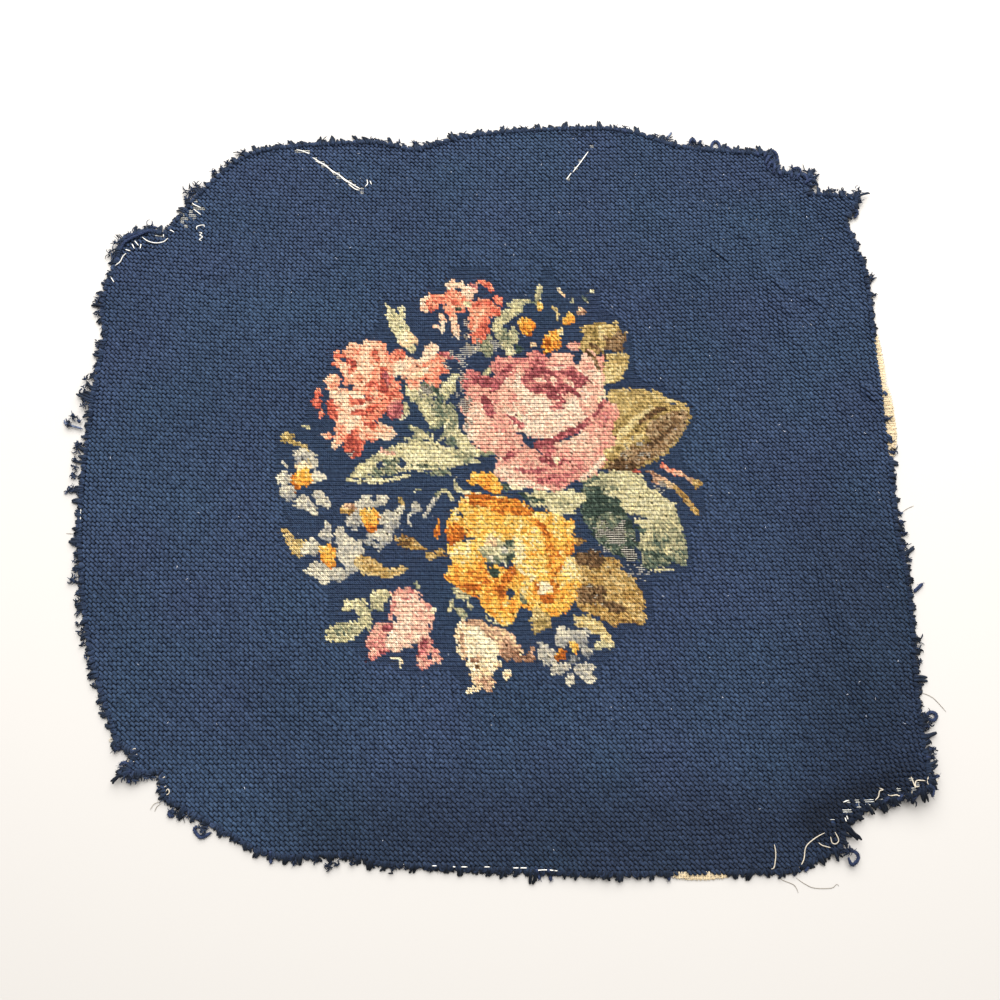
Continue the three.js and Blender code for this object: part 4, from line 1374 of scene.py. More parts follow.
        (6, 0, 10, (560, 372), (574, 376), (580, 386)), (6, 5, 15, (544, 386), (554, 390), (562, 386)),
        (5, 0, 15, (566, 390), (576, 394), (580, 400)), (5, 10, 20, (548, 398), (556, 398), (564, 402)),
        (4, 85, 100, (546, 367), (556, 370), (566, 368)), (4, 85, 100, (552, 378), (554, 386)),
        (5, 70, 85, (564, 380), (572, 386)), (5, 70, 90, (536, 380), (544, 382)),
        (4, 75, 90, (570, 398), (584, 400), (586, 392)),
    ),
    *blobs(Wool.ROSE, (555.5, 407, 6, 5.5, 30, 45), (555.5, 407, 2.2, 2.2, 10, 15)),
    *blobs(Wool.TAN, (519.5, 419, 3, 3, 95, 100)),
    *strokes(Wool.ROSE, (7, 5, 20, (537, 442), (548, 443), (566, 435), (580, 428), (588, 420))),
    *blobs(Wool.ROSE, (541, 446, 8, 5, 5, 20), (547, 452, 8, 6, 25, 40)),
    *strokes(
        Wool.ROSE,
        (5, 10, 25, (594, 417), (600, 408), (604, 402)), (6, 15, 30, (540, 459), (552, 464), (567, 461)),
        (5, 20, 35, (504, 460), (512, 455), (518, 452)), (9, 30, 40, (540, 482), (556, 480), (572, 474)),
        (5, 15, 30, (516, 470), (530, 472), (546, 470)),
    ),
    *blobs(Wool.TAN, (556.7, 460.5, 3.6, 3.6, 95, 100)),
    *blobs(Wool.ROSE, (584, 444, 16, 6, 70, 90)),
    *strokes(
        Wool.ROSE,
        (5, 85, 100, (508, 482), (530, 484), (548, 490)), (5, 85, 100, (580, 480), (594, 470), (604, 458)),
    ),
    *blobs(Wool.ROSE, (591, 362, 13, 11, 50, 80), (597, 382, 6, 16, 70, 90)),
    *strokes(Wool.BROWN, (3, 20, 50, (586, 352), (592, 358), (598, 370))),
    *blobs(Wool.NAVY, (576.5, 360.5, 4.2, 4.2, 20, 30)),
    # Berries and their sprigs
    *blobs(
        Wool.GOLD,
        (526.4, 327, 8.5, 9, 20, 60), (551.5, 343, 9, 13, 30, 60, -30), (561, 333, 3, 4, 85, 100),
        (548, 345, 4, 5, 5, 25), (568.5, 320, 7, 6.5, 30, 75), (540, 307, 3.5, 5, 55, 80),
    ),
    *blobs(Wool.TAN, (580.5, 312.5, 4, 4, 30, 60)),
    *strokes(Wool.TAN, (3.4, 90, 60, (558, 290), (561, 293), (564, 296))),
    *blobs(Wool.SAGE, (592, 292, 3.4, 2.6, 75, 90)),
    *strokes(Wool.OLIVE, (3, 70, 90, (552, 308), (557, 312), (556, 322))),
    *strokes(Wool.SAGE, (2.5, 40, 70, (574, 296), (572, 304)), (2.5, 30, 50, (584, 297), (587, 303))),
    *blobs(Wool.TAN, (534, 346, 3.6, 3, 30, 50)),
    # Worn places
    worn((463, 352), 14, 0.8, 2.4),
    worn((428, 390), 12, 0.6, 0.9),
    worn((464, 400), 9, 0.65, 2.6),
    worn((497, 345), 9, 0.6, 1.2),
    worn((466, 430), 9, 0.5, 1.4),
    worn((612, 540), 22, 0.6, 1.3),
    worn((630, 560), 12, 0.75, 1.8),
    worn((640, 572), 10, 0.6, 1.2),
    worn((662, 486), 10, 0.6, 0.8),
    worn((600, 596), 18, 0.16, 0.8),
    worn((640, 455), 24, 0.16, 0.8),
    worn((452, 486), 12, 0.3, 0.8),
    worn((446, 366), 9, 0.5, 0.8),
    worn((478, 345), 12, 0.4, 0.8),
    worn((352, 452), 7, 0.4, 0.8),
    worn((400, 536), 12, 0.2),
)


@dataclass
class Piece:
    """A mesh in the making: points in millimetres, triangles, and a colour for each point."""

    FLAT_MAP = "OFBake"
    FLAT_MAP_SIDE = 0.54

    name: str
    points: list[Array] = field(default_factory=list)
    triangles: list[Array] = field(default_factory=list)
    colours: list[Array] = field(default_factory=list)
    count: int = 0

    def add(self, points: Array, triangles: Array, colours: Array) -> None:
        """Adds a batch whose triangles count its own points from 0."""
        self.points.append(points)
        self.triangles.append(triangles + self.count)
        self.colours.append(colours)
        self.count += len(points)

    def build(self, shift: Array, material: bpy.types.Material, is_smooth: bool = True) -> bpy.types.Object:
        """Makes the object.

        Args:
            shift: From the tables' places to the part's frame, in millimetres.
            material: Its finish.
            is_smooth: Whether its faces are shaded smooth.

        Returns:
            The object, at the origin, with its place in its mesh.
        """
        points = np.vstack(self.points) + np.array([*shift, 0.0])
        triangles = np.vstack(self.triangles)
        mesh = bpy.data.meshes.new(self.name)
        mesh.vertices.add(len(points))
        mesh.vertices.foreach_set("co", (points * MM).astype(np.float32).ravel())
        mesh.loops.add(triangles.size)
        mesh.loops.foreach_set("vertex_index", triangles.astype(np.int32).ravel())
        mesh.polygons.add(len(triangles))
        mesh.polygons.foreach_set("loop_start", np.arange(0, triangles.size, 3, dtype=np.int32))
        mesh.polygons.foreach_set("use_smooth", np.full(len(triangles), is_smooth))
        mesh.update(calc_edges=True)
        paint = mesh.attributes.new(YarnFinish.PAINT, "FLOAT_COLOR", "POINT")
        colours = np.hstack([np.vstack(self.colours), np.ones((len(points), 1))])
        paint.data.foreach_set("color", colours.astype(np.float32).ravel())
        flat = points[:, :2] * MM / self.FLAT_MAP_SIDE + 0.5
        flat_map = mesh.uv_layers.new(name=self.FLAT_MAP)
        flat_map.data.foreach_set("uv", flat[triangles.ravel()].astype(np.float32).ravel())
        mesh.materials.append(material)
        made = bpy.data.objects.new(self.name, mesh)
        bpy.context.scene.collection.objects.link(made)
        log.info("%s: %d triangles", self.name, len(triangles))
        return made


def yarns(paths: Array, radii: Array, colours: Array, sides: int = 5) -> tuple[Array, Array, Array]:
    """Closed round yarns along paths that have the same number of stations.

    Args:
        paths: Yarns by stations by three, in millimetres.
        radii: Yarns by stations.
        colours: A colour for each yarn, or one for each of its stations.
        sides: How many sides a yarn has.

    Returns:
        Points, triangles and colours for a piece.
    """
    count, stations, _ = paths.shape
    along = np.gradient(paths, axis=1)
    along /= np.maximum(np.linalg.norm(along, axis=2, keepdims=True), 1e-9)
    up = np.zeros_like(along)
    up[..., 2] = 1
    steep = np.abs(along[..., 2]) > 0.95
    up[steep] = (0, 1, 0)
    across = np.cross(along, up)
    across /= np.linalg.norm(across, axis=2, keepdims=True)
    above = np.cross(across, along)
    turn = np.arange(sides) * 2 * math.pi / sides + math.pi / 2
    ring = (
        across[:, :, None, :] * np.cos(turn)[None, None, :, None]
        + above[:, :, None, :] * np.sin(turn)[None, None, :, None]
    )
    walls = paths[:, :, None, :] + ring * radii[:, :, None, None]
    ends = paths[:, [0, -1]]
    points = np.concatenate([walls.reshape(count, -1, 3), ends], axis=1)
    each = points.shape[1]
    triangles = []
    for s in range(stations - 1):
        for k in range(sides):
            a = s * sides + k
            b = s * sides + (k + 1) % sides
            triangles += [(a, b, b + sides), (a, b + sides, a + sides)]
    first = each - 2
    last = each - 1
    top = (stations - 1) * sides
    for k in range(sides):
        triangles.append((first, (k + 1) % sides, k))
        triangles.append((last, top + k, top + (k + 1) % sides))
    faces = (np.array(triangles)[None] + (np.arange(count) * each)[:, None, None]).reshape(-1, 3)
    shades = np.asarray(colours, float)
    if shades.ndim == 2:
        shades = np.repeat(shades[:, None, :], stations, axis=1)
    walls_colour = np.repeat(shades, sides, axis=1)
    all_colours = np.concatenate([walls_colour, shades[:, [0, -1]]], axis=1)
    return points.reshape(-1, 3), faces, all_colours.reshape(-1, 3)


@dataclass
class StitchWork:
    """All the stitches: large ones for the ground, half-size ones for the bouquet and what borders it."""

    edge: Edge
    cloth: Cloth
    lattice: Lattice
    chart: Chart
    navy_light: str = "#384861"
    navy_dark: str = "#2c3950"
    large_width: float = 2.1
    large_top: float = 2.05
    small_width: float = 1.08
    small_top: float = 1.95
    foot: float = 0.98
    seed: int = 5

    LARGE_STATIONS = (0.16, 0.84)
    SMALL_STATIONS = (0.14, 0.86)
    # Painted shade along a large stitch's eight points: darker ends and sides, a lighter crown.
    LARGE_SHADE = (0.9, 0.95, 1.0, 0.93, 0.96, 1.0, 0.93, 0.9)
    LARGE_END = 0.42
    FINE_GAP = 5
    COLUMNS = (-104, 106)
    ROWS = (-94, 102)
    HOLE_PULL = 0.16
    STITCH_LOSS = 0.004
    THIN_YARN = 0.84

    def _beads(
        self, start: Array, end: Array, width: Array, top: Array, side: float, foot: float, stations: Place
    ) -> Array:
        """Points of slanted stitches that dive into the canvas at both ends: eight for each.

        Args:
            start: Where each stitch starts.
            end: Where it ends.
            width: Its width.
            top: How high it stands over the cloth's ground level.
            side: How far its sides stand over the canvas.
            foot: How far its ends do.
            stations: The shares of its length between which it is full.

        Returns:
            Stitches by eight points by three, in millimetres.
        """
        along = end - start
        length = np.hypot(*along.T)[:, None]
        left = np.stack([-along[:, 1], along[:, 0]], axis=1) / length
        points = np.zeros((len(start), 8, 3))
        ground = self.cloth.surface((start[:, 0] + end[:, 0]) / 2, (start[:, 1] + end[:, 1]) / 2)
        points[:, 0, :2] = start
        points[:, 7, :2] = end
        points[:, :, 2] = ground[:, None] + self.foot
        points[:, [0, 7], 2] += foot
        for nth, share in enumerate(stations):
            middle = start + along * share
            first = 1 + 3 * nth
            points[:, first, :2] = middle + left * width[:, None] / 2
            points[:, first + 1, :2] = middle
            points[:, first + 2, :2] = middle - left * width[:, None] / 2
            points[:, first, 2] += side
            points[:, first + 2, 2] += side
            points[:, first + 1, 2] = ground + top
        return points

    FACES = np.array(
        [
            (0, 3, 2), (0, 2, 1), (0, 1, 3),
            (3, 6, 5), (3, 5, 2), (2, 5, 4), (2, 4, 1), (1, 4, 6), (1, 6, 3),
            (6, 7, 5), (5, 7, 4), (4, 7, 6),
        ]
    )

    def _add(
        self,
        piece: Piece,
        start: Array,
        end: Array,
        width: Array,
        top: Array,
        colour: Array,
        shade: Array,
        side: float = 0.6,
        foot: float = LARGE_END,
        stations: Place = LARGE_STATIONS,
    ) -> None:
        """Adds stitches to a piece, painted darker and deeper in colour as shade where they dive into the
        canvas.

        Args:
            piece: The piece.
            start: Where each stitch starts, at its upper left.
            end: Where it ends.
            width: Its width.
            top: How high it stands over the cloth's ground level.
            colour: Its colour.
            shade: How light each of its eight points is, as painted shade.
            side: How far its sides stand over the canvas.
            foot: How far its ends do.
            stations: The shares of its length between which it is full.
        """
        points = self._beads(start, end, width, top, side, foot, stations)
        faces = (self.FACES[None] + (np.arange(len(start)) * 8)[:, None, None]).reshape(-1, 3)
        shade = shade * (1 + np.random.default_rng(len(start)).normal(0, 0.07, (len(start), 8)))
        # Painted shade: the less light a point gets, the deeper and darker its colour.
        deep = 1 + 0.5 * (1 - np.minimum(shade, 1))[:, :, None]
        colours = np.minimum(np.clip(colour, 0, 1)[:, None, :] ** deep * shade[:, :, None], 1)
        piece.add(points.reshape(-1, 3), faces, colours.reshape(-1, 3))

    def _navy(self, x: Array, y: Array, dice: np.random.Generator) -> Array:
        """The ground's colour at places: uneven dyeing, and painted shade at the curled bottom right corner,
        the bottom and the lower right.
        """
        light = linear(self.navy_light)
        dark = linear(self.navy_dark)
        share = 0.5 + 0.22 * Drift(21, 60).at(x, y) + 0.12 * Drift(22, 9).at(x, y)
        share = share + dice.uniform(-0.17, 0.17, np.shape(x))
        # Painted shade where the bottom right corner curls up.
        corner = smooth(1.25 - np.hypot(x - 215, y + 165) / 60)
        share = share - 0.45 * corner
        colour = dark + (light - dark) * np.clip(share, 0, 1.2)[..., None]
        tint = 0.05 * Drift(24, 30).at(x, y)[..., None] * np.array([1.0, -0.5, 0.2])
        # Painted shade, darker towards the bottom, the lower right and the cut corner.
        return colour * (1 + tint) * painted_falloff_shade(x, y)[..., None]

    def fine_cells(self) -> Array:
        """Which cells of the ground are worked small."""
        sewn = self.chart.family >= 0
        rows, columns = sewn.shape
        cells = sewn.reshape(rows // 2, 2, columns // 2, 2).any(axis=(1, 3))
        for nth in range(self.FINE_GAP):
            cells = self._grown(cells, nth % 2 == 1)
        for nth in range(self.FINE_GAP - 1):
            cells = ~self._grown(~cells, nth % 2 == 1)
        return cells

    @staticmethod
    def _grown(cells: Array, is_square: bool) -> Array:
        """Cells with their four neighbours, or with all eight."""
        more = cells.copy()
        more[1:] |= cells[:-1]
        more[:-1] |= cells[1:]
        side = more.copy() if is_square else cells
        more[:, 1:] |= side[:, :-1]
        more[:, :-1] |= side[:, 1:]
        return more

    def ground(self) -> list[Piece]:
        """The large stitches, in four pieces by quarter."""
        dice = np.random.default_rng(self.seed)
        column, row = (a.ravel() for a in np.meshgrid(np.arange(*self.COLUMNS), np.arange(*self.ROWS)))
        x, y = self.lattice.place(column + 0.5, row + 0.5)
        fine = self.fine_cells()
        in_chart = (np.abs(column + 0.5) < Chart.WIDEST) & (np.abs(row + 0.5) < Chart.TALLEST)
        small = np.zeros(len(column), bool)
        small[in_chart] = fine[row[in_chart] + Chart.TALLEST, column[in_chart] + Chart.WIDEST]
        depth = self.edge.depth(x, y)
        ragged = 0.1 + 0.7 * Drift(23, 5.0).at(x, y) + dice.uniform(-0.5, 0.5, len(x))
        gone = self.worn(x, y, dice)
        self.bare_cells = np.stack([column, row], axis=1)[(depth > ragged) & ~small & gone]
        kept = (depth > ragged) & ~small & ~gone
        column, row, x, y = column[kept], row[kept], x[kept], y[kept]
        jitter = dice.normal(0, 0.17, (4, len(x)))
        start = np.stack(self.lattice.place(column - 0.03, row + 1.03), axis=1) + jitter[:2].T
        end = np.stack(self.lattice.place(column + 1.03, row - 0.03), axis=1) + jitter[2:].T
        proud = (column + row) % 2 == 0
        width = self.large_width * (1 + dice.normal(0, 0.08, len(x))) * np.where(proud, 1.03, 0.98)
        top = self.large_top + dice.normal(0, 0.07, len(x)) + np.where(proud, 0.04, -0.05)
        # Painted light: the proud stitches, which stand higher, are lighter and the others darker.
        colour = self._navy(x, y, dice) * np.where(proud, 1.05, 0.96)[:, None]
        pieces = []
        for name, part in (
            ("ground_upper_left", (x < 0) & (y >= 0)),
            ("ground_upper_right", (x >= 0) & (y >= 0)),
            ("ground_lower_left", (x < 0) & (y < 0)),
            ("ground_lower_right", (x >= 0) & (y < 0)),
        ):
            piece = Piece(name)
            shade = np.tile(self.LARGE_SHADE, (int(part.sum()), 1))
            self._add(piece, start[part], end[part], width[part], top[part], colour[part], shade)
            pieces.append(piece)
        return pieces

    def bare(self) -> Piece:
        """The canvas threads that show where the wool is gone."""
        dice = np.random.default_rng(self.seed + 2)
        piece = Piece("bare_canvas_threads")
        fine = np.repeat(np.repeat(self.fine_cells(), 2, axis=0), 2, axis=1)
        lost = self.chart.lost & fine
        small = np.stack([self.chart.columns[lost] / 2, self.chart.rows[lost] / 2], axis=1)
        large = self.bare_cells.astype(float)
        for cells, span, steps in ((small, 0.5, (0.25,)), (large, 1.0, (0.3, 0.72))):
            for step in steps:
                for is_across in (True, False):
                    shown = cells[dice.uniform(0, 1, len(cells)) < (0.96 if is_across else 0.6)]
                    low = shown + ((0, step) if is_across else (step, 0))
                    high = low + ((span, 0) if is_across else (0, span))
                    first = np.stack(self.lattice.place(*low.T), axis=1)
                    last = np.stack(self.lattice.place(*high.T), axis=1)
                    path = np.stack([first, (first + last) / 2, last], axis=1)
                    path += dice.normal(0, 0.05, path.shape)
                    rest = self.cloth.surface(path[..., 0], path[..., 1]) + (1.35 if is_across else 1.15)
                    radii = np.full(path.shape[:2], 0.2 if is_across else 0.15)
                    shade = dice.uniform(0.45, 0.95, (len(shown), 1)) * (1.0 if is_across else 0.6)
                    path = np.concatenate([path, rest[..., None]], axis=2)
                    colour = linear(FINE_CANVAS if span < 1 else BARE_CANVAS)
                    piece.add(*yarns(path, radii, colour * shade, 4))
        return piece

    def worn(self, x: Array, y: Array, dice: np.random.Generator) -> Array:
        """Which large stitches are gone."""
        gone = np.zeros(np.shape(x), bool)
        for patch in WEAR:
            away = patch.away(x, y)
            gone |= dice.uniform(0, 1, np.shape(x)) < patch.share * smooth(1.6 - away)
        return gone

    @staticmethod
    def _hole_shade(column: Array, row: Array, dice: np.random.Generator) -> Array:
        """Painted shade at the canvas holes between small stitches: darkest between the pairs of threads."""
        light = np.where(row % 2 == 0, np.where(column % 2 == 0, 0.0, 0.5), 0.85)
        return np.maximum(light * (1 + dice.normal(0, 0.12, np.shape(row))), 0.15)

    def bouquet(self) -> list[Piece]:
        """The small stitches, in one piece for each family of yarn."""
        dice = np.random.default_rng(self.seed + 1)
        chart = self.chart
        fine = self.fine_cells()
        here = np.repeat(np.repeat(fine, 2, axis=0), 2, axis=1)
        dice_wear = dice.uniform(0, 1, here.shape)
        keep = here & ~chart.lost & (dice_wear > self.STITCH_LOSS)
        navy = chart.families.index(Wool.NAVY)
        family = np.where(chart.family < 0, navy, chart.family)
        columns = chart.columns / 2
        rows = chart.rows / 2
        pieces = []
        for number, wool in enumerate(chart.families):
            part = keep & (family == number)
            if not part.any():
                continue
            c = columns[part]
            r = rows[part]
            size = len(c)
            jitter = dice.normal(0, 0.06, (4, size))
            first = self._hole_shade(chart.columns[part], chart.rows[part] + 1, dice)
            last = self._hole_shade(chart.columns[part] + 1, chart.rows[part], dice)
            near = self.HOLE_PULL * (1 - first) - self.HOLE_PULL / 2
            far = self.HOLE_PULL * (1 - last) - self.HOLE_PULL / 2
            start = np.stack(self.lattice.place(c + near, r + 0.5 - near), axis=1) + jitter[:2].T
            end = np.stack(self.lattice.place(c + 0.5 - far, r + far), axis=1) + jitter[2:].T
            width = self.small_width * (1 + dice.normal(0, 0.1, size))
            top = self.small_top + dice.normal(0, 0.08, size)
            if wool in (Wool.BROWN, Wool.OCHRE):
                width = width * self.THIN_YARN
            if number == navy:
                colour = self._navy(chart.x[part], chart.y[part], dice)
                colour = colour * dice.uniform(0.78, 1.12, (size, 1))
            else:
                colour = chart.colour[part] * (1 + dice.normal(0, 0.15, size))[:, None]
                colour = colour * (1.02 - 0.2 * colour.mean(axis=1))[:, None]
            piece = Piece(f"stitches_{wool.name.lower()}")
            # Painted shade and highlight: dark ends at the holes and a lighter crown in each stitch's middle.
            shade = np.stack(
                [
                    first, 0.7 + 0.3 * first, 0.95 + 0.2 * first, 0.8 + 0.25 * first,
                    0.7 + 0.3 * last, 0.95 + 0.2 * last, 0.8 + 0.25 * last, last,
                ],
                axis=1,
            )
            self._add(piece, start, end, width, top, colour, shade, 0.3, 0.0, self.SMALL_STATIONS)
            pieces.append(piece)
        return pieces


@dataclass(frozen=True)
class Wear:
    """A worn line or spot of the ground: from one place to another, its half width, and how much is gone."""

    name: str
    start: Place
    end: Place
    half: float
    share: float

    def away(self, x: Array, y: Array) -> Array:
        """How far places are from it, in half widths."""
        dx = self.end[0] - self.start[0]
        dy = self.end[1] - self.start[1]
        share = np.clip(((x - self.start[0]) * dx + (y - self.start[1]) * dy) / (dx * dx + dy * dy), 0, 1)
        return np.hypot(x - self.start[0] - share * dx, y - self.start[1] - share * dy) / self.half


WEAR = (
    Wear("bare streak, upper end", (-118, 222), (-104, 212), 1.2, 1.0),
    Wear("bare streak, lower end", (-104, 212), (-88, 200), 1.5, 1.0),
    Wear("bare top edge", (-130, 228), (-121, 227), 1.4, 0.8),
    Wear("small hole", (57, 230), (57.5, 232), 1.0, 1.0),
    Wear("abraded streak", (55, 226), (42, 207), 0.8, 0.5),
    Wear("sparse top left cut", (-214, 176), (-192, 186), 7.0, 0.5),
    Wear("sparse bottom right cut", (188, -176), (226, -164), 5.0, 0.3),
)

# Painted shade where the cut bottom right corner curls up; its share is how dark the shade gets.
SHADED_CUT_CORNER = Wear("painted shade at the cut corner", (176, -180), (222, -162), 12.0, 0.45)


def painted_falloff_shade(x: Array, y: Array) -> Array:
    """Painted shade on the navy wool at places: darker at the bottom, the lower right and the curled cut
    corner.
    """
    bottom = smooth((-140 - y) / 45) * smooth((x + 150) / 60)
    side = smooth((x - 140) / 60) * smooth((20 - y) / 70)
    cut = smooth(1.5 - SHADED_CUT_CORNER.away(x, y))
    return (1 - 0.38 * bottom) * (1 - 0.28 * side * (1 - bottom)) * (1 - SHADED_CUT_CORNER.share * cut)


@dataclass
class Canvas:
    """The cloth that all is sewn on: a thin sheet whose top carries the stitches."""

    edge: Edge
    cloth: Cloth
    chart: Chart
    top: float = 0.95
    inset: float = 0.7

    SHARES = tuple(1 - 0.97 * (n / CLOTH_RINGS) ** 1.12 for n in range(CLOTH_RINGS))

    def _fluff_and_hollow_shade(self, places: Array) -> Array:
        """The colour of the canvas at places, which takes after the wool sewn over it, deepened and darkened
        as painted shade.
        """
        chart = self.chart
        wool = np.tile(linear(NAVY_FLUFF_AND_HOLLOW_SHADE), (len(places), 1))
        across = 2 * (places[:, 0] + Lattice.lean * places[:, 1]) / Lattice.pitch
        column = np.rint(across - 0.5).astype(int) + 2 * Chart.WIDEST
        row = np.rint(2 * places[:, 1] / Lattice.pitch - 0.5).astype(int) + 2 * Chart.TALLEST
        near = (column >= 0) & (row >= 0) & (column < chart.x.shape[1]) & (row < chart.x.shape[0])
        cells = row[near], column[near]
        sewn = (chart.family[cells] >= 0)[:, None]
        # Painted shade: under the bouquet, the wool's colour is deepened and darkened where the stitches
        # shade the canvas.
        wool[near] = np.where(sewn, chart.colour[cells] ** 1.5 * 0.14, wool[near])
        return wool

    def build(self, shift: Array) -> bpy.types.Object:
        """Makes the sheet from rings between its edge and its middle, with its back as a second finish."""
        at = self.edge.lengths[:-1]
        rim = self.edge.place(at, np.full(len(at), -self.inset))
        around = len(rim)
        rings = np.vstack([rim * share for share in self.SHARES] + [np.zeros((1, 2))])
        centre = len(rings) - 1
        level = self.cloth.surface(rings[:, 0], rings[:, 1])
        under = self.cloth.lift(rings[:, 0], rings[:, 1])
        upper = np.column_stack([rings, level + self.top])
        lower = np.column_stack([rings, under])
        face = []
        for ring in range(len(self.SHARES) - 1):
            for i in range(around):
                a = ring * around + i
                b = ring * around + (i + 1) % around
                face += [(a, b, b + around), (a, b + around, a + around)]
        last = (len(self.SHARES) - 1) * around
        face += [(last + i, last + (i + 1) % around, centre) for i in range(around)]
        down = np.array(face)
        up = down[:, ::-1]
        size = len(rings)
        i = np.arange(around)
        j = (i + 1) % around
        wall = np.vstack([np.column_stack([i, j, i + size]), np.column_stack([j, j + size, i + size])])
        piece = Piece("canvas_cloth")
        faces = np.vstack([up, wall, down + size])
        piece.add(np.vstack([upper, lower]), faces, np.tile(self._fluff_and_hollow_shade(rings), (2, 1)))
        made = piece.build(shift, UnderclothFinish().material())
        made.data.uv_layers.remove(made.data.uv_layers[Piece.FLAT_MAP])
        made.data.materials.append(BackFinish().material())
        slots = np.zeros(len(faces), np.int32)
        slots[len(up) :] = 1
        made.data.polygons.foreach_set("material_index", slots)
        return made


@dataclass(frozen=True)
class Stretch:
    """A stretch of the frayed rim between two bearings, with how far its ends stand out."""

    name: str
    is_wool: bool
    start: float
    stop: float
    least: float
    most: float
    slant: float = 0.0


STRETCHES = (
    Stretch("fray_top_left", True, 131, 93, 2.4, 5.4, -2.2),
    Stretch("fray_top_right", True, 93, 55.5, 2.2, 5.0),
    Stretch("fray_corner_top_right", True, 55.5, 37, 3.0, 5.6),
    Stretch("fray_right_upper", True, 37, 20, 1.8, 3.6),
    Stretch("thread_fringe_right_upper", False, 20, 12.5, 2.2, 4.0),
    Stretch("thread_fringe_right_lower", False, 12.5, 2, 2.4, 6.4),
    Stretch("fray_right_lower", True, 2, -30.5, 1.9, 4.4),
    Stretch("fray_corner_bottom_right", True, -30.5, -51, 3.0, 5.8),
    Stretch("fray_bottom_right", True, -51, -60, 2.0, 4.0),
    Stretch("thread_fringe_bottom", False, -60, -66, 2.2, 3.8),
    Stretch("fray_bottom_middle", True, -66, -105, 1.9, 4.0),
    Stretch("fray_bottom_left", True, -105, -137.5, 2.2, 4.6),
    Stretch("fray_corner_bottom_left", True, -137.5, -149, 3.0, 5.2),
    Stretch("fray_left_lower", True, -149, -180, 2.2, 5.0),
    Stretch("fray_left_upper", True, 180, 131, 2.2, 5.2),
)


@dataclass(frozen=True)
class LongLock:
    """A lock that stands out past the rest: its bearing, reach, the lean of its tip and its width."""

    bearing: float
    reach: float
    lean: float
    width: float


LONG_LOCKS = (
    LongLock(179, 7.4, 1, 2.4),
    LongLock(170.4, 11.6, 4, 2.6),
    LongLock(156, 6.5, 2, 2.6),
    LongLock(115.2, 5.4, 1, 3.4),
    LongLock(95.4, 5.6, 1, 3.4),
    LongLock(72.5, 5.6, -1, 3.4),
    LongLock(41.4, 5.8, 1, 3.4),
    LongLock(-11.7, 7.5, -3, 2.0),
    LongLock(-27.1, 8.5, 0, 3.4),
    LongLock(-33, 7.6, -1, 3.6),
    LongLock(-45.6, 9.5, 4, 2.8),
    LongLock(-82.7, 5.8, 0, 4.0),
    LongLock(-130.6, 6.0, 0, 3.4),
    LongLock(-169, 6.0, 1, 2.4),
)


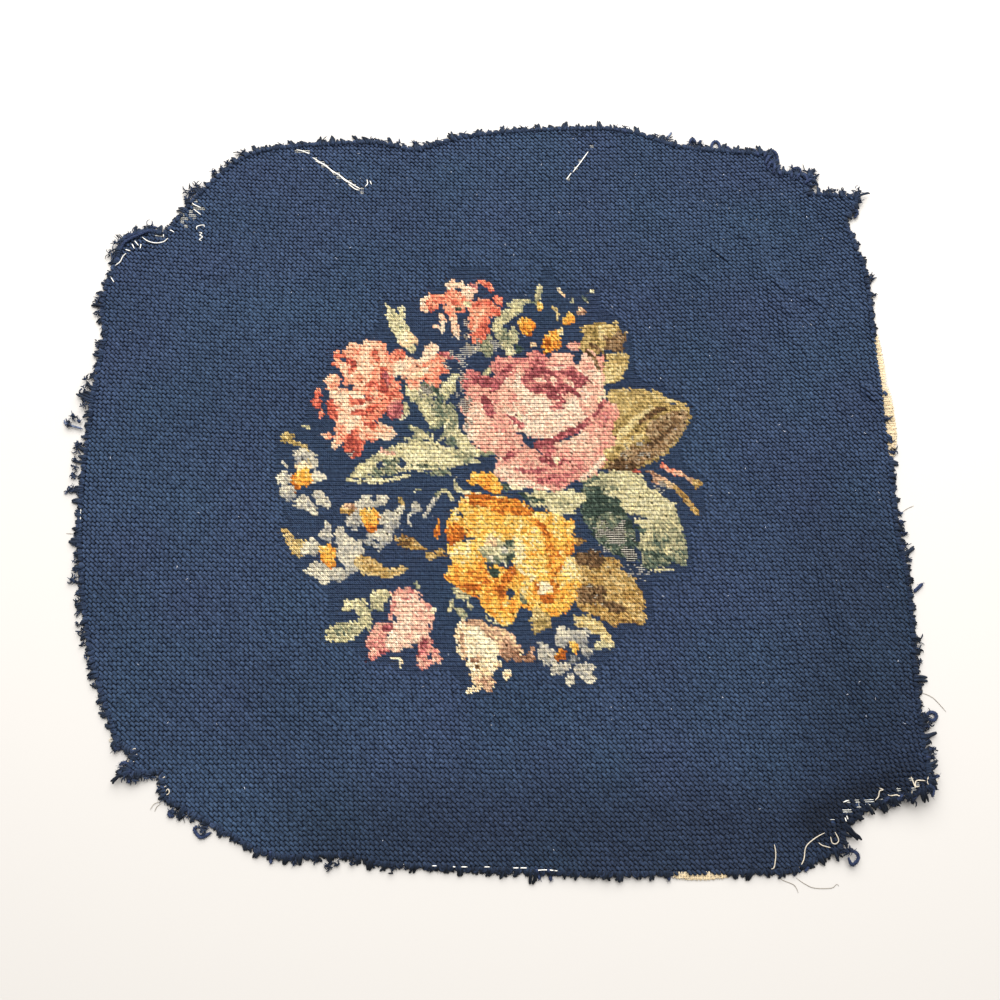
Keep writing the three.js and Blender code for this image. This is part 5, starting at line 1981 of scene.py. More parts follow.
@dataclass
class Rim:
    """The frayed rim: loops of the cut stitches, tufts of loose wool ends, frizz, and bare thread fringes."""

    edge: Edge
    cloth: Cloth
    lock_pitch: float = 7.62
    lock_width: float = 3.6
    lock_lean: float = 1.9
    loop_pitch: float = 4.6
    thread_pitch: float = THREAD
    yarn_radius: float = 0.74
    thread_radius: float = 0.27
    seed: int = 31

    ALONG = np.array([0.0, 0.3, 0.6, 0.85, 1.0])
    THICK = np.array([1.0, 1.06, 1.1, 1.0, 0.62])
    LOOP_STATIONS = 6
    HAIR_STATIONS = 3
    THREAD_STATIONS = 4
    END_ROOT = 1.8
    END_LEAST = 1.2
    LOOP_ROOT = 1.2
    LOOP_REACH = 1.5
    HAIRS_PER_MM = 1.2
    HAIR_RADIUS = 0.075
    CROSSING_PITCH = 0.8

    def __post_init__(self) -> None:
        """Starts the repeatable dice."""
        self.dice = np.random.default_rng(self.seed)

    def _levels(self, places: Array, heights: Array) -> Array:
        """Places with their height above the table added to the cloth's lift there."""
        lift = self.cloth.lift(places[..., 0], places[..., 1])
        return np.concatenate([places, (heights + lift)[..., None]], axis=-1)

    def _shades(self, count: int, dark: str = NAVY_END[0], light: str = NAVY_END[1]) -> Array:
        """Yarn colours that vary from end to end."""
        share = self.dice.uniform(0, 1, (count, 1))
        return linear(dark) * (1 - share) + linear(light) * share

    def _ends(self, piece: Piece, at: Array, lean: Array, reach: Array, width: Array, each: int) -> None:
        """Adds tufts of loose yarn ends: a few thick ends that spread from each root.

        Args:
            piece: The piece.
            at: Where each root is along the edge.
            lean: How far its ends lean along the edge.
            reach: How far they stand out.
            width: How wide the root is.
            each: How many ends it has.
        """
        count = len(at) * each
        share = self.ALONG
        at, lean, reach, width = (np.repeat(a, each) for a in (at, lean, reach, width))
        off = self.dice.uniform(-0.42, 0.42, count) * width
        curl = self.dice.normal(0, 0.5, count)
        along = at[:, None] + off[:, None] * (0.75 + 0.35 * share) + lean[:, None] * share**1.4
        along = along + curl[:, None] * np.sin(share * math.pi * 1.3)
        longest = np.maximum(reach * np.minimum(self.dice.uniform(0.55, 1.25, count), 1.04), self.END_LEAST)
        out = -self.END_ROOT + (longest[:, None] + self.END_ROOT) * share
        places = self.edge.place(along, out)
        arch = self.dice.uniform(0.2, 0.9, (count, 1)) * np.sin(share * math.pi)
        start = self.dice.uniform(1.0, 1.7, (count, 1))
        radius = self.yarn_radius * self.dice.uniform(0.8, 1.25, (count, 1))
        height = start * (1 - share) ** 1.3 + radius + arch
        root = self._shades(count, *NAVY_ROOT)[:, None, :]
        shades = root + (self._shades(count)[:, None, :] - root) * smooth(1.6 * share)[None, :, None]
        # Painted shade as on the ground: darker at the bottom, the lower right and the cut corner.
        shades = shades * 0.9 * painted_falloff_shade(places[..., 0], places[..., 1])[..., None]
        piece.add(*yarns(self._levels(places, height), radius * self.THICK, shades, 4))

    def _loops(self, piece: Piece, begin: float, end: float, reach: float) -> None:
        """Adds the rounded loops of wool that wrap the cut edge, one for each two rows of stitches.

        Args:
            piece: The piece.
            begin: Where they begin along the edge.
            end: Where they end.
            reach: How far they stand out.
        """
        count = max(2, round((end - begin) / self.loop_pitch))
        pitch = (end - begin) / count
        at = begin + (np.arange(count) + 0.5) * pitch
        share = np.linspace(0, 1, self.LOOP_STATIONS)
        for scale, radius in ((1.0, 0.95), (0.45, 0.85)):
            far = self.dice.uniform(0.65, 1.15, (count, 1)) * reach * scale
            along = at[:, None] + (share - 0.5) * pitch * 0.78 * scale + self.dice.normal(0, 0.3, (count, 1))
            out = -self.LOOP_ROOT + (far + self.LOOP_ROOT - 0.5) * np.sin(share * math.pi) ** 0.7
            height = 1.75 - 0.75 * share + self.dice.uniform(-0.2, 0.25, (count, 1))
            radii = radius * self.dice.uniform(0.85, 1.1, (count, 1)) * (1 + 0.1 * np.sin(share * 9))
            height = np.maximum(height, radii + 0.05)
            places = self.edge.place(along, out)
            # Painted shade as on the ground: darker at the bottom, the lower right and the cut corner.
            dim = painted_falloff_shade(places[..., 0], places[..., 1])[..., None]
            shades = self._shades(count, *NAVY_LOOP)[:, None] * dim
            piece.add(*yarns(self._levels(places, height), radii, shades, 4))

    def _frizz(
        self, piece: Piece, begin: float, end: float, most: float, colour: Array | None = None
    ) -> None:
        """Adds fine stray fibres.

        Args:
            piece: The piece.
            begin: Where they begin along the edge.
            end: Where they end.
            most: How far most of them stand out.
            colour: Their colour, or none for the wool's.
        """
        count = round((end - begin) * self.HAIRS_PER_MM)
        at = self.dice.uniform(begin, end, (count, 1))
        share = np.linspace(0, 1, self.HAIR_STATIONS)
        reach = 0.9 + (most + 0.6) * self.dice.uniform(0, 1, (count, 1)) ** 2
        along = at + self.dice.normal(0, 1.3, (count, 1)) * share
        along = along + self.dice.normal(0, 0.9, (count, 1)) * share**2
        out = -0.8 + (reach + 0.8) * share
        height = self.dice.uniform(0.5, 2.0, (count, 1)) * (1 - 0.6 * share) + 0.2
        radii = np.full((count, self.HAIR_STATIONS), self.HAIR_RADIUS) * (1 - 0.4 * share)
        shades = self._shades(count) if colour is None else np.tile(colour, (count, 1))
        piece.add(*yarns(self._levels(self.edge.place(along, out), height), radii, shades, 3))

    def _threads(self, piece: Piece, begin: float, end: float, stretch: Stretch) -> None:
        """Adds bare canvas threads that stick straight out, and those that still cross them."""
        count = round((end - begin) / self.thread_pitch)
        at = begin + (np.arange(count) + 0.5) * (end - begin) / count
        share = np.linspace(0, 1, self.THREAD_STATIONS)
        middle = (np.arange(count) + 0.5) / count
        bulge = np.sin(math.pi * middle) ** 0.6
        reach = stretch.least + (stretch.most - stretch.least) * bulge * self.dice.uniform(0.8, 1.0, count)
        along = at[:, None] + self.dice.normal(0, 0.2, (count, 1))
        along = along + self.dice.normal(0, 0.4, (count, 1)) * share**2
        out = -1.0 + (reach[:, None] + 1.0) * share
        height = 0.9 - 0.5 * share + self.dice.uniform(0, 0.25, (count, 1))
        radii = np.full((count, self.THREAD_STATIONS), self.thread_radius)
        cream = linear(FRINGE_THREAD) * self.dice.uniform(0.8, 1.15, (count, 1))
        piece.add(*yarns(self._levels(self.edge.place(along, out), height), radii, cream, 4))
        for line in np.arange(0.5, stretch.most, self.CROSSING_PITCH):
            steps = max(4, round(end - begin))
            run = np.linspace(begin, end, steps)
            arc = np.sin(math.pi * np.clip((run - begin) / (end - begin), 0, 1)) ** 0.6
            held = stretch.least + (stretch.most - stretch.least) * arc
            run = run[held > line + 0.5]
            if len(run) < 4:
                continue
            level = 0.8 + 0.12 * np.sin(np.arange(len(run)) * 2.4) - 0.06 * line
            wave = line + 0.1 * np.sin(np.arange(len(run)) * 1.7 + line)
            places = self.edge.place(run[None], wave[None])
            radii = np.full((1, len(run)), self.thread_radius * 0.9)
            colour = linear(CROSSING_THREAD)[None]
            piece.add(*yarns(self._levels(places, level[None]), radii, colour, 4))

    def build(self, stretch: Stretch, centre: Array) -> Piece:
        """The rim of one stretch."""
        begin = self.edge.distance_to(stretch.start, centre)
        stop = self.edge.distance_to(stretch.stop, centre)
        end = stop if stop > begin else stop + self.edge.total
        name = stretch.name.replace("fray", "wool_fray").replace("thread_fringe", "bare_threads")
        piece = Piece(name)
        if not stretch.is_wool:
            self._threads(piece, begin, end, stretch)
            self._frizz(piece, begin, end, stretch.least, linear(FRINGE_FRIZZ))
            return piece
        self._loops(piece, begin, end, self.LOOP_REACH)
        count = int((end - begin) // self.lock_pitch)
        pitch = (end - begin) / count
        nth = np.arange(count)
        at = begin + pitch * (nth + 0.5)
        shares = np.array([spread(n + len(stretch.name)) for n in nth])
        leans = np.array([2 * spread(3 * (n + len(stretch.name))) - 1 for n in nth]) * self.lock_lean
        reach = stretch.least + (stretch.most - stretch.least) * shares
        width = np.full(count, self.lock_width)
        for lock in LONG_LOCKS:
            if stretch.stop < lock.bearing < stretch.start:
                place = self.edge.distance_to(lock.bearing, centre)
                place = place if place > begin else place + self.edge.total
                here = int(np.argmin(np.abs(at - place)))
                reach[here], leans[here], width[here] = lock.reach, lock.lean, lock.width
        self._ends(piece, at, leans + stretch.slant, reach, width, 4)
        short = at + pitch / 2
        self._ends(piece, short, leans * 0.3 + stretch.slant, reach * 0.45 + 0.4, width * 0.6, 2)
        self._frizz(piece, begin, end, stretch.least)
        return piece


class Fibre(Enum):
    """What a loose strand is: its colour, its radius in millimetres, and how many plies it has."""

    BLEACHED = ("#eeeae0", 0.32, 1)
    CREAM = ("#cbc0ac", 0.32, 1)
    FIBRE = ("#9a9184", 0.15, 1)
    YARN = ("#2c3650", 0.95, 3)
    GREY = ("#5d677e", 0.62, 3)

    @property
    def is_wool(self) -> bool:
        """Whether it is a yarn of the ground and not a thread of the canvas."""
        return self in (Fibre.YARN, Fibre.GREY)


@dataclass(frozen=True)
class Strand:
    """A loose thread, fibre or yarn end that lies on the cloth or the table, through listed places."""

    fibre: Fibre
    through: tuple[Place, ...]


def laid(fibre: Fibre, *paths: tuple[Place, ...]) -> tuple[Strand, ...]:
    """Strands of one kind, each through places in millimetres."""
    return tuple(Strand(fibre, path) for path in paths)


def strands(fibre: Fibre, *paths: tuple[Place, ...]) -> tuple[Strand, ...]:
    """Strands of one kind, each through pixels that were read off the photograph."""
    return tuple(Strand(fibre, tuple(through_lens(*pixel) for pixel in path)) for path in paths)


# The loose strands. Those that the photograph shows clearly are in pixels, the small bits in millimetres.
STRANDS = (
    *strands(
        Fibre.BLEACHED,
        ((191.4, 201.2), (194.6, 205.7), (201.6, 209.9)), ((194.6, 211.4), (202.2, 217.2)),
        ((197.8, 231.2), (198.4, 228.6), (204.8, 227.4), (205.4, 229.3)),
        ((200.3, 234.4), (203.5, 235), (201, 237.6), (204.2, 238.9), (200.3, 242), (202.9, 242.7)),
        ((165.3, 239.5), (164.6, 235.7), (167.2, 232.9), (171.6, 232.1), (175.5, 234.4)),
        ((144.8, 240.1), (150, 244), (157.6, 245.2), (165.3, 243.6), (169.7, 240.1)),
        ((136.6, 244), (140.4, 248.4)), ((134, 247.1), (136.6, 251)), ((141.7, 251.6), (142.9, 247.1)),
        ((127.6, 252.2), (132.1, 253.5)), ((128.3, 255.4), (124.4, 258.6), (121.9, 263.7), (116.1, 267.6)),
        ((111, 276.5), (115.5, 284.1)), ((79, 509), (78.3, 516), (78, 522.5)),
        ((82.3, 509), (82, 516), (82, 522.5)), ((846.7, 799.5), (841.6, 801.4)),
        ((842.3, 816.7), (843.5, 820.5)), ((844.2, 814.8), (845.5, 818.6)),
        ((268.4, 853.3), (273.5, 852.5)), ((290, 857.7), (296.4, 857.5)),
        ((532, 870), (545, 869), (557, 870.5)),
    ),
    *laid(
        Fibre.BLEACHED,
        ((-119, 222.5), (-112.5, 218), (-107.5, 214)), ((-117, 220), (-110, 216.5), (-105, 211)),
        ((-108, 214.5), (-101, 209.5), (-96.5, 206)), ((-103, 211.5), (-98, 206.5), (-93, 204)),
        ((-99, 208), (-93, 203.5), (-88, 200.5)), ((-95.5, 204), (-91.5, 200.5), (-88.5, 199.5)),
        ((-129.5, 228), (-125.5, 227), (-121, 225)), ((-84, 207), (-83.5, 204), (-85, 202)),
        ((-82, 206), (-81, 203.5)), ((-58.5, -202), (-55, -202.5)), ((-54, -202), (-51.5, -202.5)),
        ((-83, -200), (-79.5, -200.5)), ((-37.5, -203), (-34, -203)), ((-27, -203.5), (-24, -203.5)),
        ((-21, -203.5), (-17.5, -203.5)), ((-8.5, -203.5), (-5.5, -203.5)), ((7, -204), (10, -204)),
        ((11, -204), (14.5, -204)), ((56, 226.5), (51, 219), (46, 212)), ((45, 211.5), (42, 207)),
    ),
    *strands(
        Fibre.CREAM,
        ((934.7, 773.3), (927, 773.3), (922.6, 777.8), (922.6, 784.2), (930.9, 781.6), (935.4, 777.2)),
        ((906.7, 776.5), (910.5, 788)), ((919.4, 779.7), (911.8, 780.4), (909.9, 785.5), (914.3, 785.5)),
        (
            (884.4, 793.8), (887.6, 795), (892.7, 793.8), (895.2, 795), (900.3, 795), (906.7, 793.8),
            (907.3, 790.6),
        ),
        ((876.7, 788), (880.5, 789.3), (877.3, 790.6), (875.4, 796.3), (872.2, 799.5)),
        ((862, 812), (866.5, 811), (865.9, 814.5)),
        (
            (823, 832), (816, 836.5), (806.6, 842.9), (804, 849.2), (802.7, 858.2), (798.3, 866.5),
            (791.3, 872.2), (785.5, 869.6),
        ),
        ((832.7, 831.4), (835.9, 839), (833.3, 842.9), (830.2, 841.6), (828.2, 836.5)),
        ((816.8, 841.6), (821.2, 844.8), (828.2, 847.3)),
        ((772.8, 844.1), (774.7, 851.8), (774, 860.7), (772.8, 867), (769.6, 868.4)),
        ((116.6, 741.5), (109.6, 740.5), (113, 738), (116.6, 741.5)),
        (
            (131.9, 751), (137, 748.5), (134.4, 754.8), (137.6, 751), (137, 756.8), (130.6, 757.4),
            (127.4, 760), (131.9, 761.9), (136.4, 761.2),
        ),
        (
            (167.6, 785.5), (164.4, 788), (164.4, 793), (168.9, 793.8), (171.4, 791.2), (169.5, 788.6),
            (167, 791.2),
        ),
        ((162.5, 779), (166.3, 776)),
    ),
    *strands(
        Fibre.FIBRE,
        ((81, 416.6), (74, 416.6), (70.2, 419.1)), ((78, 458), (71.5, 451.7)), ((78, 534.6), (67, 533.3)),
        ((900, 514), (906, 509), (914, 505.8)), ((919, 707), (923, 705), (922, 701), (918, 702)),
        ((921, 692), (933, 698), (946.2, 711.5)),
        ((796.4, 877.9), (804.6, 883.7), (814.8, 888.1), (831.4, 888.1), (836.5, 884.3), (839, 886.2)),
        ((777.9, 874.7), (782.3, 880.5), (794.4, 885), (798.3, 892.6)),
        ((161.2, 801.4), (154.8, 804), (150.4, 809)), ((161.2, 803.3), (156.8, 806.5), (154.6, 811.6)),
    ),
    *strands(
        Fibre.YARN,
        ((82, 423), (79, 421)), ((83, 444), (76.6, 445.9)), ((82, 540), (76.6, 544.1)),
        ((883, 419), (888, 420)), ((889, 452), (894.5, 453)), ((898, 522), (902.5, 521.8)),
        ((899, 533), (905.7, 534.5)), ((899, 545), (904, 548)), ((900, 556), (905, 562)),
        ((913, 592), (922, 584)),
        ((924, 716.6), (929, 712.6), (934, 713), (935.5, 717), (932, 720.5), (928, 719), (926, 717)),
        ((923, 727), (928.4, 726.1)), ((924, 748), (932.2, 749)), ((922, 757), (931, 757.4)),
        ((925, 780), (930, 776), (935, 775)), ((924, 784), (928.4, 786), (927, 795.7)),
        ((886, 796), (882.4, 799.5), (877.3, 808.4)), ((898, 794), (895.2, 798.2), (890, 805.9)),
        ((914, 790), (911.8, 794.4), (908, 800.8)),
        (
            (836, 851.8), (839, 851.8), (848, 849.9), (855, 852.4), (855.7, 858.2), (851.2, 863.9),
            (847.5, 860), (846.7, 856.9),
        ),
        ((811, 860), (809.7, 864.5), (804, 870.9)), ((795, 868), (793.8, 875.4)),
        ((174, 811), (170.5, 811.5), (169.7, 814.5), (172, 816.5), (174.5, 815)),
        ((198, 825.6), (195, 828.8), (196.3, 832.7), (202, 837), (211, 832.7)),
        ((271.6, 850.7), (271.6, 855), (270.9, 863.3)), ((293.9, 854.9), (293.9, 859), (293.9, 865.8)),
        ((536, 868), (540, 879)), ((548, 868), (551, 880)), ((606, 873), (606.4, 877.4)),
        ((667, 873), (668.5, 880)), ((616.6, 134), (616.6, 128.5)), ((625, 135), (624, 129)),
        ((689, 144), (692, 139.5), (695.5, 143.5)), ((698, 146), (701, 141.7)),
        ((711, 152), (711.6, 144.9), (715.4, 142.3), (719.3, 145.5), (719.3, 151.9)),
        ((721, 153.2), (722.4, 148.7), (727.6, 148.7), (732, 153.8)),
        ((737.8, 155), (741.6, 151.9), (748, 153.8)), ((749.9, 150.6), (754.3, 151.3), (757.5, 158.3)),
        ((763, 160), (766, 154), (771, 151), (776, 155), (777, 163)),
        ((764, 166), (768, 158), (773, 157), (776, 166), (778, 174)),
        ((766, 172), (770, 164), (774, 168), (772, 176)), ((780, 178), (778, 170), (780, 166)),
        ((790, 180), (792, 171), (798, 169), (801, 175)), ((795, 182), (799, 175), (804, 178), (806, 184)),
        ((803, 186), (810, 182), (815, 186)),
    ),
    *laid(
        Fibre.YARN,
        ((221, 187), (224, 184.5), (222, 181)),
    ),
    *strands(
        Fibre.YARN,
        ((119, 251), (122, 245), (131, 240), (142, 235), (152, 229), (160, 230)),
        ((121, 254), (126, 246), (136, 241), (147, 236), (156, 232), (162, 234)),
        ((117, 262), (120, 254), (124, 250)), ((121, 765), (126, 762), (131, 766)),
        ((120, 772), (125, 769), (130, 773), (134, 770)), ((131, 777), (131, 783)),
        ((143, 771), (149, 775), (155, 772)), ((113, 745), (118, 749), (122, 747)),
    ),
    *strands(
        Fibre.GREY,
        ((83.6, 430), (75.3, 427.4), (67.7, 424.9), (65.1, 421)),
        ((80, 494), (77.9, 493.1), (71.5, 489.3), (65.1, 493.8)),
        ((80, 581.5), (77.9, 581.8), (70.8, 579.9)), ((898, 513), (902.5, 513.5)),
        ((201, 832), (204, 828), (206.5, 825.5)), ((666.3, 139.5), (671.4, 133.4)),
    ),
)


# Tufts of wool at the frayed edge: the pixel of their middle and their radius in pixels.
TUFTS = (
    (190, 192, 7), (187, 200, 4), (196, 187, 6), (150, 231, 6), (135, 236, 7), (122, 243, 7), (115, 262, 5),
    (100, 302, 6), (100, 313, 4), (795, 172, 7), (809, 174, 7), (812, 184, 5), (830, 193, 4), (840, 195, 4),
    (854, 196, 6), (857, 202, 4), (854, 213, 3), (860, 261, 3), (869, 276, 4), (214, 173, 4), (221, 169, 3),
    (228, 163, 4), (233, 161, 3), (242, 154, 5), (256, 153, 3), (271, 149.5, 3), (279, 147, 4),
    (286, 147, 4), (315, 146, 4), (324, 143, 6), (336, 145, 3), (346, 143, 3), (356, 143, 3),
    (371, 141.6, 4), (382, 143, 4), (399, 144, 3), (416, 144, 5), (425, 147, 3), (437, 143, 5),
    (454, 138, 5), (464, 136, 4), (478, 134, 4), (494, 137, 4), (505, 131, 5), (515, 130, 3), (523, 130, 5),
    (534, 130.5, 4), (559, 133, 3), (575.5, 133, 4), (584, 132, 4), (593, 134, 4), (619.5, 129, 6),
    (627, 129, 4), (656, 136, 3), (668, 138, 4), (692, 142, 4), (700.5, 145, 4), (725, 151, 3),
    (744.5, 154, 4), (753, 153, 5), (771, 154, 6), (774, 163, 6), (777, 172, 5), (843, 195, 3),
    (850, 212.6, 4), (112, 253, 5), (118, 256, 3), (108, 283, 4), (110, 275, 3), (101, 297, 4),
    (98, 343, 2.5), (99, 348, 2.5), (97, 368, 2.5), (95, 375, 2.5), (88, 380, 3), (86, 391, 4),
    (86, 401, 2.5), (86, 407, 3), (76, 418, 4), (71, 424, 3.5), (80, 445, 4), (78, 450, 3), (76, 460, 2.5),
    (76, 468, 3), (75, 476, 3), (71, 491, 3.5), (76, 490, 4), (80, 527, 4), (79, 535, 3), (77, 545, 3),
    (77, 553, 2.5), (76, 561, 2.5), (77, 570, 3), (74, 580, 4), (79, 592, 3), (78, 602, 3), (79, 612, 3.5),
    (77, 624, 2.5), (81, 632, 3), (82, 645, 2.5), (85, 656, 3.5), (90, 668, 3), (91, 678, 3),
    (93, 685, 2.5), (99, 700, 4), (104, 708, 4), (110, 717, 4), (115, 721, 3), (116, 746, 5), (123, 745, 5),
    (124, 768, 5), (126, 776, 5), (132, 780, 4), (852, 238, 3), (858, 244, 2.5), (871, 279, 3),
    (875, 296, 2), (887, 420, 3), (890, 440, 3.5), (893, 452, 4), (898, 513, 3), (901, 523, 3),
    (903, 533, 4), (904, 544, 3), (907, 551, 3), (908, 560, 3), (918, 640, 4), (919, 650, 4),
    (919, 662, 3.5), (918, 673, 3.5), (920, 686, 4), (920, 704, 4), (926, 716, 5), (928, 725, 4),
    (928, 742, 3), (933, 750, 3.5), (930, 756, 4), (925, 768, 3), (932, 777, 4.5), (928, 790, 5),
    (911, 799, 5), (905, 796, 4), (892, 804, 4), (122, 774, 4), (140, 776, 4), (150, 776, 4), (159, 791, 4),
    (165, 800, 4), (172, 813, 4), (180, 817, 4), (190, 819, 4), (202, 830, 5), (222, 834, 3), (230, 838, 3),
    (235.5, 842, 3), (247.6, 847, 2.5), (254.5, 851, 2.5), (270.5, 858, 3.5), (293, 862, 3.5),
    (313.5, 863, 2.5), (327, 868, 4.5), (335, 866, 3), (351, 864, 3.5), (370, 865, 4), (393, 871, 3.5),
    (402, 868, 3.5), (428, 872, 3.5), (452, 872, 2.5), (488, 872, 3), (499, 872, 3), (511, 872, 3),
    (540, 873, 3), (546, 874, 4), (552, 872, 3.5), (567, 872, 2.5), (668, 873, 3.5), (754, 871, 3),
    (765, 873, 3), (791, 871, 3.5), (807, 864, 3.5), (822, 856, 3), (837, 851, 4), (840, 841, 4),
    (850, 853, 5), (844, 828, 3), (880, 805, 4.5), (890, 802, 4),
)


@dataclass
class Loose:
    """What lies loose on the cloth and past its edge: strands of yarn and thread, and lint."""

    edge: Edge
    cloth: Cloth
    face: float = 2.3
    lint_count: int = 150
    seed: int = 77

    STEPS = 3
    PLY_TURN = 1.9

    def __post_init__(self) -> None:
        """Starts the repeatable dice."""
        self.dice = np.random.default_rng(self.seed)

    def _rest(self, places: Array, radius: float) -> Array:
        """Heights at which strands lie on the cloth, or on the table past its edge."""
        on_cloth = smooth((self.edge.depth(places[..., 0], places[..., 1]) + 0.8) / 2.6)
        lift = self.cloth.lift(places[..., 0], places[..., 1])
        return radius + 0.1 + lift + (self.face - 0.5 * radius) * on_cloth

    def build(self, is_wool: bool) -> Piece:
        """The strands of yarn, or those of thread."""
        piece = Piece("loose_yarn" if is_wool else "loose_threads")
        for strand in STRANDS:
            if strand.fibre.is_wool != is_wool:
                continue
            code, radius, plies = strand.fibre.value
            line = curved(np.array(strand.through, float), 8)
            length = float(np.hypot(*np.diff(line, axis=0).T).sum())
            line = evenly(line, max(5, self.STEPS + round(length / (1.1 if is_wool else 0.9))))
            rest = self._rest(line, radius)
            rest = np.convolve(np.pad(rest, 1, "edge"), [0.25, 0.5, 0.25], "valid")
            path = np.column_stack([line, rest])
            share = np.linspace(0, 1, len(line))
            taper = np.minimum(1, 0.55 + 3 * np.minimum(share, 1 - share))
            colour = linear(code)[None]
            if plies == 1:
                piece.add(*yarns(path[None], radius * taper[None], colour * self.dice.uniform(0.85, 1.1)))
                continue
            side = np.gradient(line, axis=0)
            side = np.stack([-side[:, 1], side[:, 0]], axis=1) / np.hypot(*side.T)[:, None]
            for ply in range(plies):
                turn = self.PLY_TURN * np.arange(len(line)) * 0.6 + 2 * math.pi * ply / plies
                wound = path.copy()
                wound[:, :2] += side * (0.5 * radius * np.cos(turn) * taper)[:, None]
                wound[:, 2] += 0.35 * radius * np.sin(turn)
                shade = colour * self.dice.uniform(0.75, 1.3)
                piece.add(*yarns(wound[None], 0.66 * radius * taper[None], shade, 4))
            self._fuzz(piece, path, radius, colour)
        return piece

    def _fuzz(self, piece: Piece, path: Array, radius: float, colour: Array) -> None:
        """Fine fibres that stand out from a yarn."""
        count = 3 * len(path)
        start = path[self.dice.integers(0, len(path), count)]
        bearing = self.dice.uniform(0, 2 * math.pi, count)
        far = radius + self.dice.uniform(0.2, 1.0, count)
        share = np.linspace(0, 1, 3)
        reach = np.stack([np.cos(bearing), np.sin(bearing), np.zeros(count)], axis=1) * far[:, None]
        line = start[:, None] + reach[:, None] * share[None, :, None]
        line += self.dice.normal(0, 0.12, line.shape)
        piece.add(*yarns(line, np.full((count, 3), 0.07), np.tile(colour * 1.5, (count, 1)), 3))

    def tufts(self) -> Piece:
        """Tufts of short curled wool ends at the edge."""
        piece = Piece("wool_tufts")
        share = np.linspace(0, 1, 5)
        for *pixel, size in TUFTS:
            x, y = seen(*pixel)
            radius = real(size)
            count = 6 + round(4 * radius)
            bearing = self.dice.uniform(0, 2 * math.pi, (count, 1))
            curl = self.dice.uniform(-2.6, 2.6, (count, 1))
            step = radius * self.dice.uniform(0.7, 1.5, (count, 1)) / (len(share) - 1)
            heading = bearing + curl * share[None]
            line = np.stack([np.cos(heading), np.sin(heading)], axis=2) * step[:, :, None]
            line[:, 0] = self.dice.normal(0, 0.3 * radius, (count, 2))
            line = np.cumsum(line, axis=1) + (x, y)
            thick = self.dice.uniform(0.2, 0.52, (count, 1))
            height = self.dice.uniform(0.7, 2.3, (count, 1)) * (1 - 0.35 * share) + 0.5 * np.sin(2 * share)
            lift = self.cloth.lift(line[..., 0], line[..., 1])
            path = np.concatenate([line, (np.maximum(height, thick + 0.1) + lift)[..., None]], axis=2)
            share_light = self.dice.uniform(0, 1, (count, 1))
            dark, light = (linear(code) for code in NAVY_TUFT)
            colour = dark * (1 - share_light) + light * share_light
            radii = thick * np.array([0.8, 1.0, 1.05, 0.9, 0.4])
            # Painted shade as on the ground: darker at the bottom, the lower right and the cut corner.
            piece.add(*yarns(path, radii, colour * painted_falloff_shade(np.array(x), np.array(y)), 3))
        return piece

    def lint(self) -> Piece:
        """Pale specks of lint, more of them to the upper right."""
        piece = Piece("lint")
        low, high = self.edge.points.min(axis=0), self.edge.points.max(axis=0)
        places = self.dice.uniform(low, high, (40 * self.lint_count, 2))
        inside = self.edge.depth(places[:, 0], places[:, 1]) > 6
        chance = 0.3 + 0.7 * smooth((places[:, 0] + places[:, 1] + 60) / 300)
        places = places[inside & (self.dice.uniform(0, 1, len(places)) < chance)][: self.lint_count]
        count = len(places)
        bearing = self.dice.uniform(0, math.pi, count)
        half = self.dice.uniform(0.15, 0.85, count)
        along = np.stack([np.cos(bearing), np.sin(bearing)], axis=1) * half[:, None]
        line = places[:, None] + along[:, None] * np.array([-1.0, 0.0, 1.0])[None, :, None]
        line[:, 1] += self.dice.normal(0, 0.15, (count, 2))
        rest = self.cloth.surface(line[..., 0], line[..., 1]) + self.face + 0.1
        path = np.concatenate([line, rest[..., None]], axis=2)
        radii = self.dice.uniform(0.1, 0.22, (count, 1)) * np.array([0.6, 1.0, 0.6])
        colour = linear(LINT_COLOUR) * self.dice.uniform(0.5, 1.1, (count, 1))
        piece.add(*yarns(path, radii, colour, 4))
        return piece


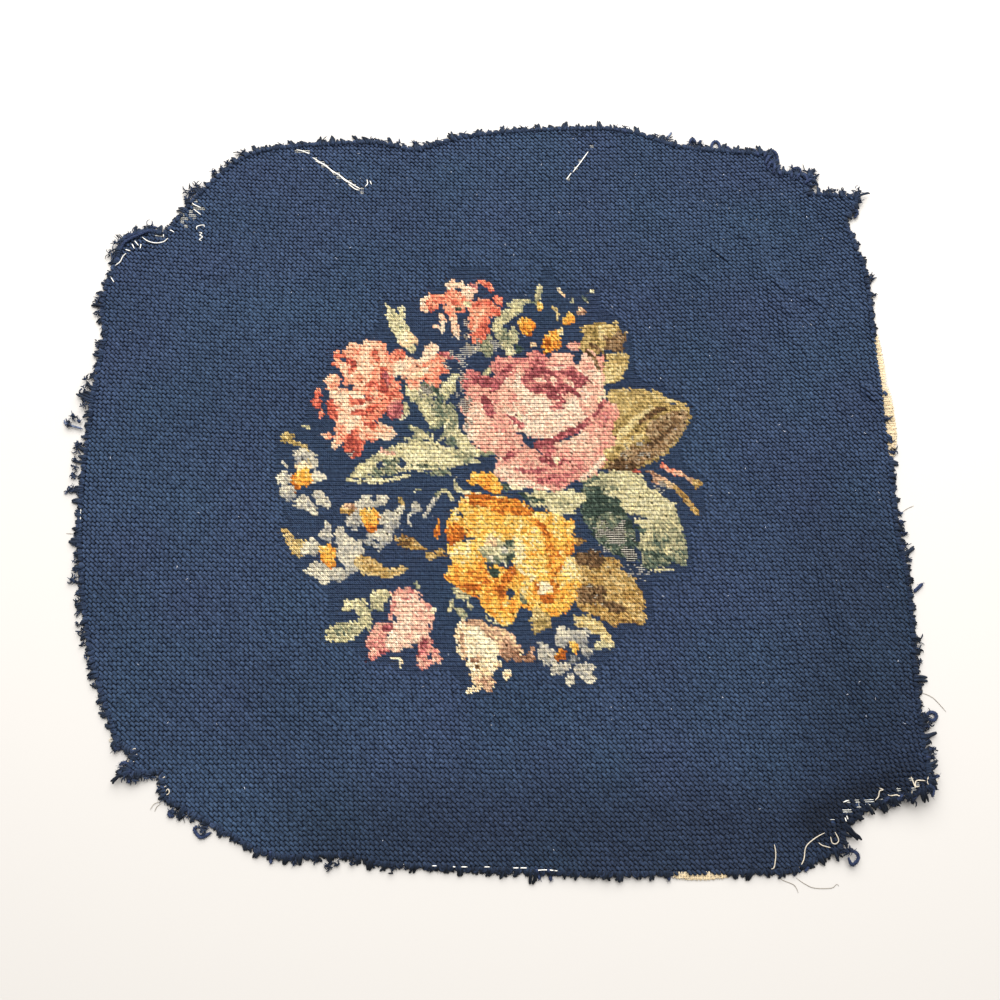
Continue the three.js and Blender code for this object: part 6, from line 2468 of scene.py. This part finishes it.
class Studio:
    """The table, the light and the camera."""

    HEIGHT = CAMERA_HEIGHT * MM
    NEAREST = 0.01
    TABLE_SIDE = 6.0
    ROOM_COLOUR = (1.0, 0.995, 0.985, 1)
    ROOM_STRENGTH = 0.5
    LAMP_PLACE = (0.05, 0.85, 1.15)
    LAMP_SIDE = 1.8
    LAMP_WATTS = 62.0

    def __init__(self, aim: Array) -> None:
        """Keeps the place, in metres, that the camera looks at."""
        self.aim = aim

    def table(self) -> bpy.types.Object:
        """A plain pale table top."""
        bpy.ops.object.select_all(action="DESELECT")
        bpy.ops.mesh.primitive_plane_add(size=self.TABLE_SIDE, location=(0, 0, 0))
        top = bpy.context.object
        top.name = "table_top"
        top.data.materials.append(TableFinish().material())
        return top

    def lights(self) -> None:
        """A wide soft light over and beyond the panel's top, and a bright room."""
        world = bpy.data.worlds.new("room")
        world.use_nodes = True
        background = world.node_tree.nodes["Background"]
        background.inputs["Color"].default_value = self.ROOM_COLOUR
        background.inputs["Strength"].default_value = self.ROOM_STRENGTH
        bpy.context.scene.world = world
        bpy.context.scene.view_settings.view_transform = "Standard"
        self._area("overhead", self.LAMP_PLACE, self.LAMP_SIDE, self.LAMP_WATTS)

    def _area(self, name: str, place: tuple[float, float, float], size: float, watts: float) -> None:
        """A square soft light that faces the panel."""
        data = bpy.data.lights.new(name, "AREA")
        data.size = size
        data.energy = watts
        lamp = bpy.data.objects.new(name, data)
        lamp.location = place
        aim = -np.array(place)
        lamp.rotation_euler = (
            math.atan2(math.hypot(aim[0], aim[1]), -aim[2]),
            0,
            math.atan2(aim[1], aim[0]) - math.pi / 2,
        )
        bpy.context.scene.collection.objects.link(lamp)

    def camera(self) -> None:
        """The camera, almost straight above the panel and a little to its bottom."""
        data = bpy.data.cameras.new("camera")
        data.lens = CAMERA_LENS
        data.sensor_width = CAMERA_SENSOR
        data.clip_start = self.NEAREST
        eye = bpy.data.objects.new("camera", data)
        eye.location = (self.aim[0], self.aim[1] - self.HEIGHT * math.tan(CAMERA_TILT), self.HEIGHT)
        eye.rotation_euler = (CAMERA_TILT, 0, 0)
        bpy.context.scene.collection.objects.link(eye)
        bpy.context.scene.camera = eye


def main() -> None:
    """Builds the panel, its table, its light and its camera, and reports each piece."""
    logging.basicConfig(level=logging.INFO, format="%(message)s")
    edge = Edge(EDGE_RUNS)
    cloth = Cloth(RISES, WRINKLES)
    lattice = Lattice()
    low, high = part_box("canvas_panel")
    middle = (edge.points.min(axis=0) + edge.points.max(axis=0)) / 2
    shift = np.array([(low.x + high.x) / 2, (low.y + high.y) / 2]) / MM - middle
    centre = -shift

    studio = Studio(shift * MM)
    studio.camera()
    studio.lights()
    studio.table()

    chart = Chart(lattice)
    for motif in BOUQUET:
        motif.sew(chart)
    canvas = Canvas(edge, cloth, chart).build(shift)
    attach(canvas, "root")
    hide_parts("canvas_panel")

    wool = YarnFinish("ground_wool").material()
    cotton = YarnFinish("canvas_cotton", sheen=0.05, fleck=0.12).material()
    work = StitchWork(edge, cloth, lattice, chart)
    on_cloth = []
    for piece in work.ground():
        made = piece.build(shift, wool)
        on_cloth.append(made)
    for piece in work.bouquet():
        made = piece.build(shift, wool)
        on_cloth.append(made)
    threads = work.bare().build(shift, cotton)
    on_cloth.append(threads)
    rim = Rim(edge, cloth)
    for stretch in STRETCHES:
        made = rim.build(stretch, centre).build(shift, wool if stretch.is_wool else cotton)
        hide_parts(stretch.name)
        on_cloth.append(made)
    loose = Loose(edge, cloth)
    for is_wool in (True, False):
        made = loose.build(is_wool).build(shift, wool if is_wool else cotton)
        on_cloth.append(made)
    lint = loose.lint().build(shift, cotton)
    on_cloth.append(lint)
    tufts = loose.tufts().build(shift, wool)
    on_cloth.append(tufts)
    for made in on_cloth:
        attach(made, "root")

    span = (edge.points.max(axis=0) - edge.points.min(axis=0)) * MM


if __name__ == "__main__":
    main()
